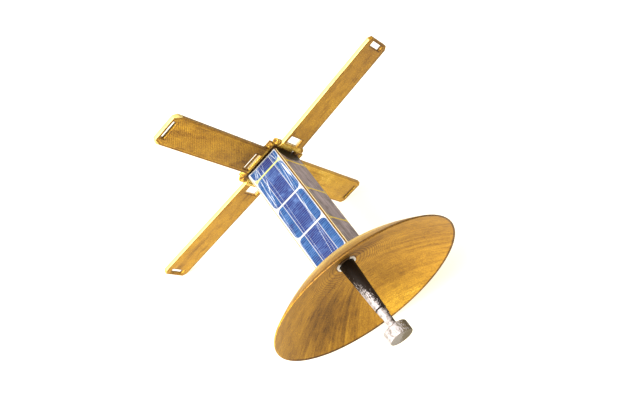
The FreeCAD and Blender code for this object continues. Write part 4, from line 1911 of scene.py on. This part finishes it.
@dataclass
class Feed:
    """The feed on the dish's axis: collar, mast, ferrule, stem and cap."""

    model: ModelFrame
    collar_inner: float = 1.97
    collar_outer: float = 2.57
    collar_floor: float = 32.95
    collar_top: float = 33.5
    mast_foot_radius: float = 1.95
    mast_base: float = 32.05
    mast_foot_top: float = 33.55
    mast_head_radius: float = 1.3
    mast_head: float = 47.0
    socket_radius: float = 1.07
    socket_depth: float = 1.2
    ferrule_radius: float = 1.38
    ferrule_top: float = 47.35
    stem_radius: float = 1.05
    stem_foot_radius: float = 1.2
    stem_foot_top: float = 48.85
    stem_step: float = 0.15
    cap_radius: float = 3.05
    cap_back: float = 52.55
    cap_front: float = 55.5
    cap_bevel: float = 0.2
    segments: int = 72

    def build(self) -> None:
        """Make and place every piece of the feed."""
        self.make_collar()
        self.make_mast()
        self.make_ferrule()
        self.make_stem()
        self.make_cap()

    def paint(self, piece: bpy.types.Object, finish: Finish, node: str) -> None:
        """Dress a piece of the feed and place it.

        Args:
            piece: The piece.
            finish: Its finish.
            node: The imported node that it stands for.
        """
        place = self.model.side_place(Side.UPPER_LEFT)
        dress(piece, finish.make(f"{node}_paint", place))
        settle(piece, place, node, self.model)

    def make_collar(self) -> None:
        """The ring round the foot of the mast."""
        inner, outer = self.collar_inner, self.collar_outer
        floor, top = self.collar_floor, self.collar_top
        corners = [(inner, floor), (outer, floor), (outer, top), (inner, top)]
        collar = turned("bare_feed_collar", corners, self.segments, ring=True)
        round_edges(collar, width=0.12)
        self.paint(collar, BarePlasticFinish(), "feed_collar")

    def make_mast(self) -> None:
        """The tapered mast with a socket in its head."""
        steps = 24
        low, high = self.mast_foot_top, self.mast_head
        slope = (self.mast_head_radius - self.mast_foot_radius) / (high - low)
        rise = [(high - low) * step / steps for step in range(steps + 1)]
        taper = [(self.mast_foot_radius + slope * part, low + part) for part in rise]
        floor = self.mast_head - self.socket_depth
        socket = [(self.socket_radius, self.mast_head), (self.socket_radius, floor)]
        foot = [(self.mast_foot_radius, self.mast_base)]
        mast = turned("silvered_feed_mast", foot + taper + socket, self.segments)
        round_edges(mast, width=0.06)
        ripple(mast, size=0.9, depth=0.06)
        finish = SilverFinish(start=34.5, full=46.5, least=-0.2, most=0.44, lit_side_bias=0.36)
        self.paint(mast, finish, "feed_mast")

    def make_ferrule(self) -> None:
        """The thin ring on the mast's head."""
        inner, outer = self.socket_radius, self.ferrule_radius
        low, high = self.mast_head, self.ferrule_top
        corners = [(inner, low), (outer, low), (outer, high), (inner, high)]
        ferrule = turned("silvered_feed_ferrule", corners, self.segments, ring=True)
        round_edges(ferrule, width=0.1)
        finish = SilverFinish(start=46.9, full=47.3, least=0.02, most=0.06, lit_side_bias=0.1)
        self.paint(ferrule, finish, "feed_ferrule")

    def make_stem(self) -> None:
        """The stem, stout above the ferrule, with its ends in the mast and the cap."""
        slim, stout = self.stem_radius, self.stem_foot_radius
        steps = 8
        top = self.cap_back + self.socket_depth
        start = self.stem_foot_top + self.stem_step
        shaft = [(slim, start + (top - start) * step / steps) for step in range(steps + 1)]
        corners = [
            (slim, self.mast_head - self.socket_depth), (slim, self.ferrule_top),
            (stout, self.ferrule_top), (stout, self.stem_foot_top),
        ]
        stem = turned("silvered_feed_stem", corners + shaft, self.segments)
        round_edges(stem, width=0.05, angle=25)
        ripple(stem, size=0.8, depth=0.05)
        finish = SilverFinish(start=47.4, full=49.0, least=0.5, most=0.66, lit_side_bias=0.45)
        self.paint(stem, finish, "feed_stem")

    def make_cap(self) -> None:
        """The round cap, with a socket behind and a shallow dished face in front."""
        bevel, radius = self.cap_bevel, self.cap_radius
        floor = self.cap_back + self.socket_depth
        length = self.cap_front - self.cap_back
        middle = [self.cap_back + length * share for share in (0.25, 0.5, 0.75)]
        corners = [(self.socket_radius, floor), (self.socket_radius, self.cap_back)]
        corners += [(radius - bevel, self.cap_back), (radius, self.cap_back + bevel)]
        corners += [(radius, height) for height in middle]
        corners += [(radius, self.cap_front - bevel), (radius - bevel, self.cap_front)]
        dip = 0.06
        corners += [(share * radius, self.cap_front - dip) for share in (0.86, 0.6, 0.35, 0.12)]
        cap = turned("silvered_feed_cap", corners, self.segments)
        round_edges(cap, width=0.09, angle=25)
        ripple(cap, size=1.2, depth=0.07)
        brown = (0.12, 0.095, 0.055, 1.0)
        finish = SilverFinish(
            start=50.0, full=54.0, least=0.6, most=0.56, lit_side_bias=0.42, ground=brown,
            front=self.cap_front,
        )
        self.paint(cap, finish, "feed_cap")


# ---- The studio ----


@dataclass
class Studio:
    """A pale floor, soft light and the camera."""

    camera_place: Triple = (0.1093, -0.0797, 0.181)
    camera_right: Triple = (0.5481, 0.8361, 0.0219)
    camera_down: Triple = (0.6169, -0.3864, -0.6857)
    lens: float = 49.4
    floor_half: float = 4.0
    key_way: Triple = (0.19, -0.75, 0.63)
    key_spread: float = 0.5
    key_power: float = 8.1
    sky_strength: float = 0.35
    floor_glow: float = 0.9
    floor_color: Color = (0.45, 0.44, 0.42, 1.0)
    glow_color: Color = (1.0, 0.93, 0.72, 1.0)
    key_color: Triple = (1.0, 0.97, 0.92)
    sky_color: Color = (1.0, 0.985, 0.96, 1.0)

    def build(self) -> None:
        """Make the floor, the lights and the camera."""
        self.make_floor()
        self.make_lights()
        self.make_camera()

    def make_floor(self) -> None:
        """A plain pale floor."""
        bpy.ops.object.select_all(action="DESELECT")
        bpy.ops.mesh.primitive_plane_add(size=2 * self.floor_half)
        floor = name_new("studio_floor")
        material = bpy.data.materials.new("pale_floor")
        material.use_nodes = True
        shader = material.node_tree.nodes["Principled BSDF"]
        shader.inputs["Base Color"].default_value = self.floor_color
        shader.inputs["Roughness"].default_value = 0.8
        shader.inputs["Emission Color"].default_value = self.glow_color
        shader.inputs["Emission Strength"].default_value = self.floor_glow
        dress(floor, material)

    def make_lights(self) -> None:
        """A soft key light, and an even white sky for the rest."""
        key = bpy.data.lights.new("key_light", "SUN")
        key.angle = self.key_spread
        key.energy = self.key_power
        key.color = self.key_color
        lamp = bpy.data.objects.new("key_light", key)
        bpy.context.scene.collection.objects.link(lamp)
        way = Vector(self.key_way).normalized()
        lamp.location = way
        lamp.rotation_mode = "QUATERNION"
        lamp.rotation_quaternion = (-way).to_track_quat("-Z", "Y")
        world = bpy.data.worlds.new("studio_sky")
        world.use_nodes = True
        background = world.node_tree.nodes["Background"]
        background.inputs["Color"].default_value = self.sky_color
        background.inputs["Strength"].default_value = self.sky_strength
        bpy.context.scene.world = world
        bpy.context.scene.view_settings.view_transform = "Standard"

    def make_camera(self) -> None:
        """The camera, with no shift and no depth of field."""
        right, down = Vector(self.camera_right).normalized(), Vector(self.camera_down)
        forward = right.cross(down).normalized()
        turn = Matrix((right, right.cross(forward), -forward)).transposed()
        data = bpy.data.cameras.new("camera")
        data.lens = self.lens
        data.sensor_width = 36.0
        data.clip_start = 0.005
        data.clip_end = 20.0
        camera = bpy.data.objects.new("camera", data)
        bpy.context.scene.collection.objects.link(camera)
        camera.matrix_world = Matrix.Translation(self.camera_place) @ turn.to_4x4()
        bpy.context.scene.camera = camera


# ---- The whole model ----

BLUE_INK = CardInk(
    column=(0.010, 0.021, 0.112, 1.0),
    flank=(0.004, 0.050, 0.158, 1.0),
    pale=(0.085, 0.150, 0.330, 1.0),
    deep=(0.014, 0.008, 0.070, 1.0),
    gap=(0.40, 0.41, 0.42, 1.0),
    first_gap=(0.36, 0.38, 0.14, 1.0),
    border=(0.38, 0.39, 0.42, 1.0),
    streaks=(0.45, 5.0, 1.0),
    fingers=0.3,
)
# The blue print as seen on the shaded side, with painted shade and sheen: mauve-grey cells, and
# lines between cells painted yellow as a reflection of the gold paddle.
SHADE_AND_SHEEN_INK = CardInk(
    column=(0.420, 0.320, 0.350, 1.0),
    flank=(0.360, 0.270, 0.290, 1.0),
    pale=(0.640, 0.510, 0.560, 1.0),
    deep=(0.110, 0.072, 0.080, 1.0),
    gap=(0.95, 0.68, 0.05, 1.0),
    first_gap=(0.95, 0.68, 0.05, 1.0),
    border=(0.26, 0.19, 0.16, 1.0),
    streaks=(2.6, 0.08, 1.0),
    fingers=0.0,
)
CRACKS = (
    Crack((2.68, 0.5), (4.0, 3.0)),
    Crack((2.2, 0.5), (3.5, 3.3)),
    Crack((1.09, 1.2), (1.13, 3.2)),
    Crack((3.07, 3.9), (3.51, 6.5)),
    Crack((3.4, 6.0), (3.71, 13.2), 0.06),
    Crack((1.44, 4.2), (2.91, 8.4), 0.08),
    Crack((2.91, 8.4), (3.25, 10.9)),
    Crack((-3.53, 5.3), (-2.71, 12.9)),
    Crack((-3.04, 0.4), (-3.57, 3.0)),
    Crack((-2.35, 13.6), (-2.22, 16.9)),
    Crack((-2.76, 16.0), (-2.15, 20.6)),
    Crack((-4.0, 4.0), (-4.2, 9.6), 0.22),
)
# The upper-left card, on the shaded side, wears that ink and a painted shadow of the hinge.
CARDS = {
    Side.UPPER_LEFT: CardFinish(SHADE_AND_SHEEN_INK, 4.15, wear=0.0, seed=3.0, shadow_reach=3.4, gap=0.55),
    Side.UPPER_RIGHT: CardFinish(BLUE_INK, 3.2, wear=0.12, seed=11.0, cracks=CRACKS, gap=0.46),
    Side.LOWER_RIGHT: CardFinish(BLUE_INK, 3.6, wear=0.5, seed=23.0),
    Side.LOWER_LEFT: CardFinish(BLUE_INK, 4.0, wear=0.5, seed=31.0),
}
CURLS = {Side.UPPER_RIGHT: 0.25}
# Each paddle's tone is partly painted light, lighter or darker for how its face catches the light.
# Flank and cap are painted highlights on the sides towards the light; the lower-left paddle, in
# shade, has none, nor pale slot walls.
PADDLES = {
    Side.UPPER_LEFT: PaddleFinish(tone=0.76, mottle=0.4, seed=5.0, root=0.09, tip=0.16, flank=0.72),
    Side.UPPER_RIGHT: PaddleFinish(tone=0.71, mottle=0.44, seed=17.0, root=0.14, cap=0.85),
    Side.LOWER_RIGHT: PaddleFinish(tone=0.76, mottle=0.34, seed=29.0, flank=0.72, cap=0.3),
    Side.LOWER_LEFT: PaddleFinish(tone=0.89, mottle=0.3, seed=41.0, tip=0.1, slot_highlight=0.0),
}


def main() -> None:
    """Build every piece of the model and the studio, in order."""
    logging.basicConfig(level=logging.INFO, format="%(message)s")
    model = ModelFrame(frame["record"])
    Chassis(model).build()
    for side, finish in CARDS.items():
        SolarCard(model, side, finish, curl=CURLS.get(side, 0.0)).build()
    for side, finish in PADDLES.items():
        Paddle(model, side, finish).build()
    Dish(model).build()
    Feed(model).build()
    Studio().build()


if __name__ == "__main__":
    main()
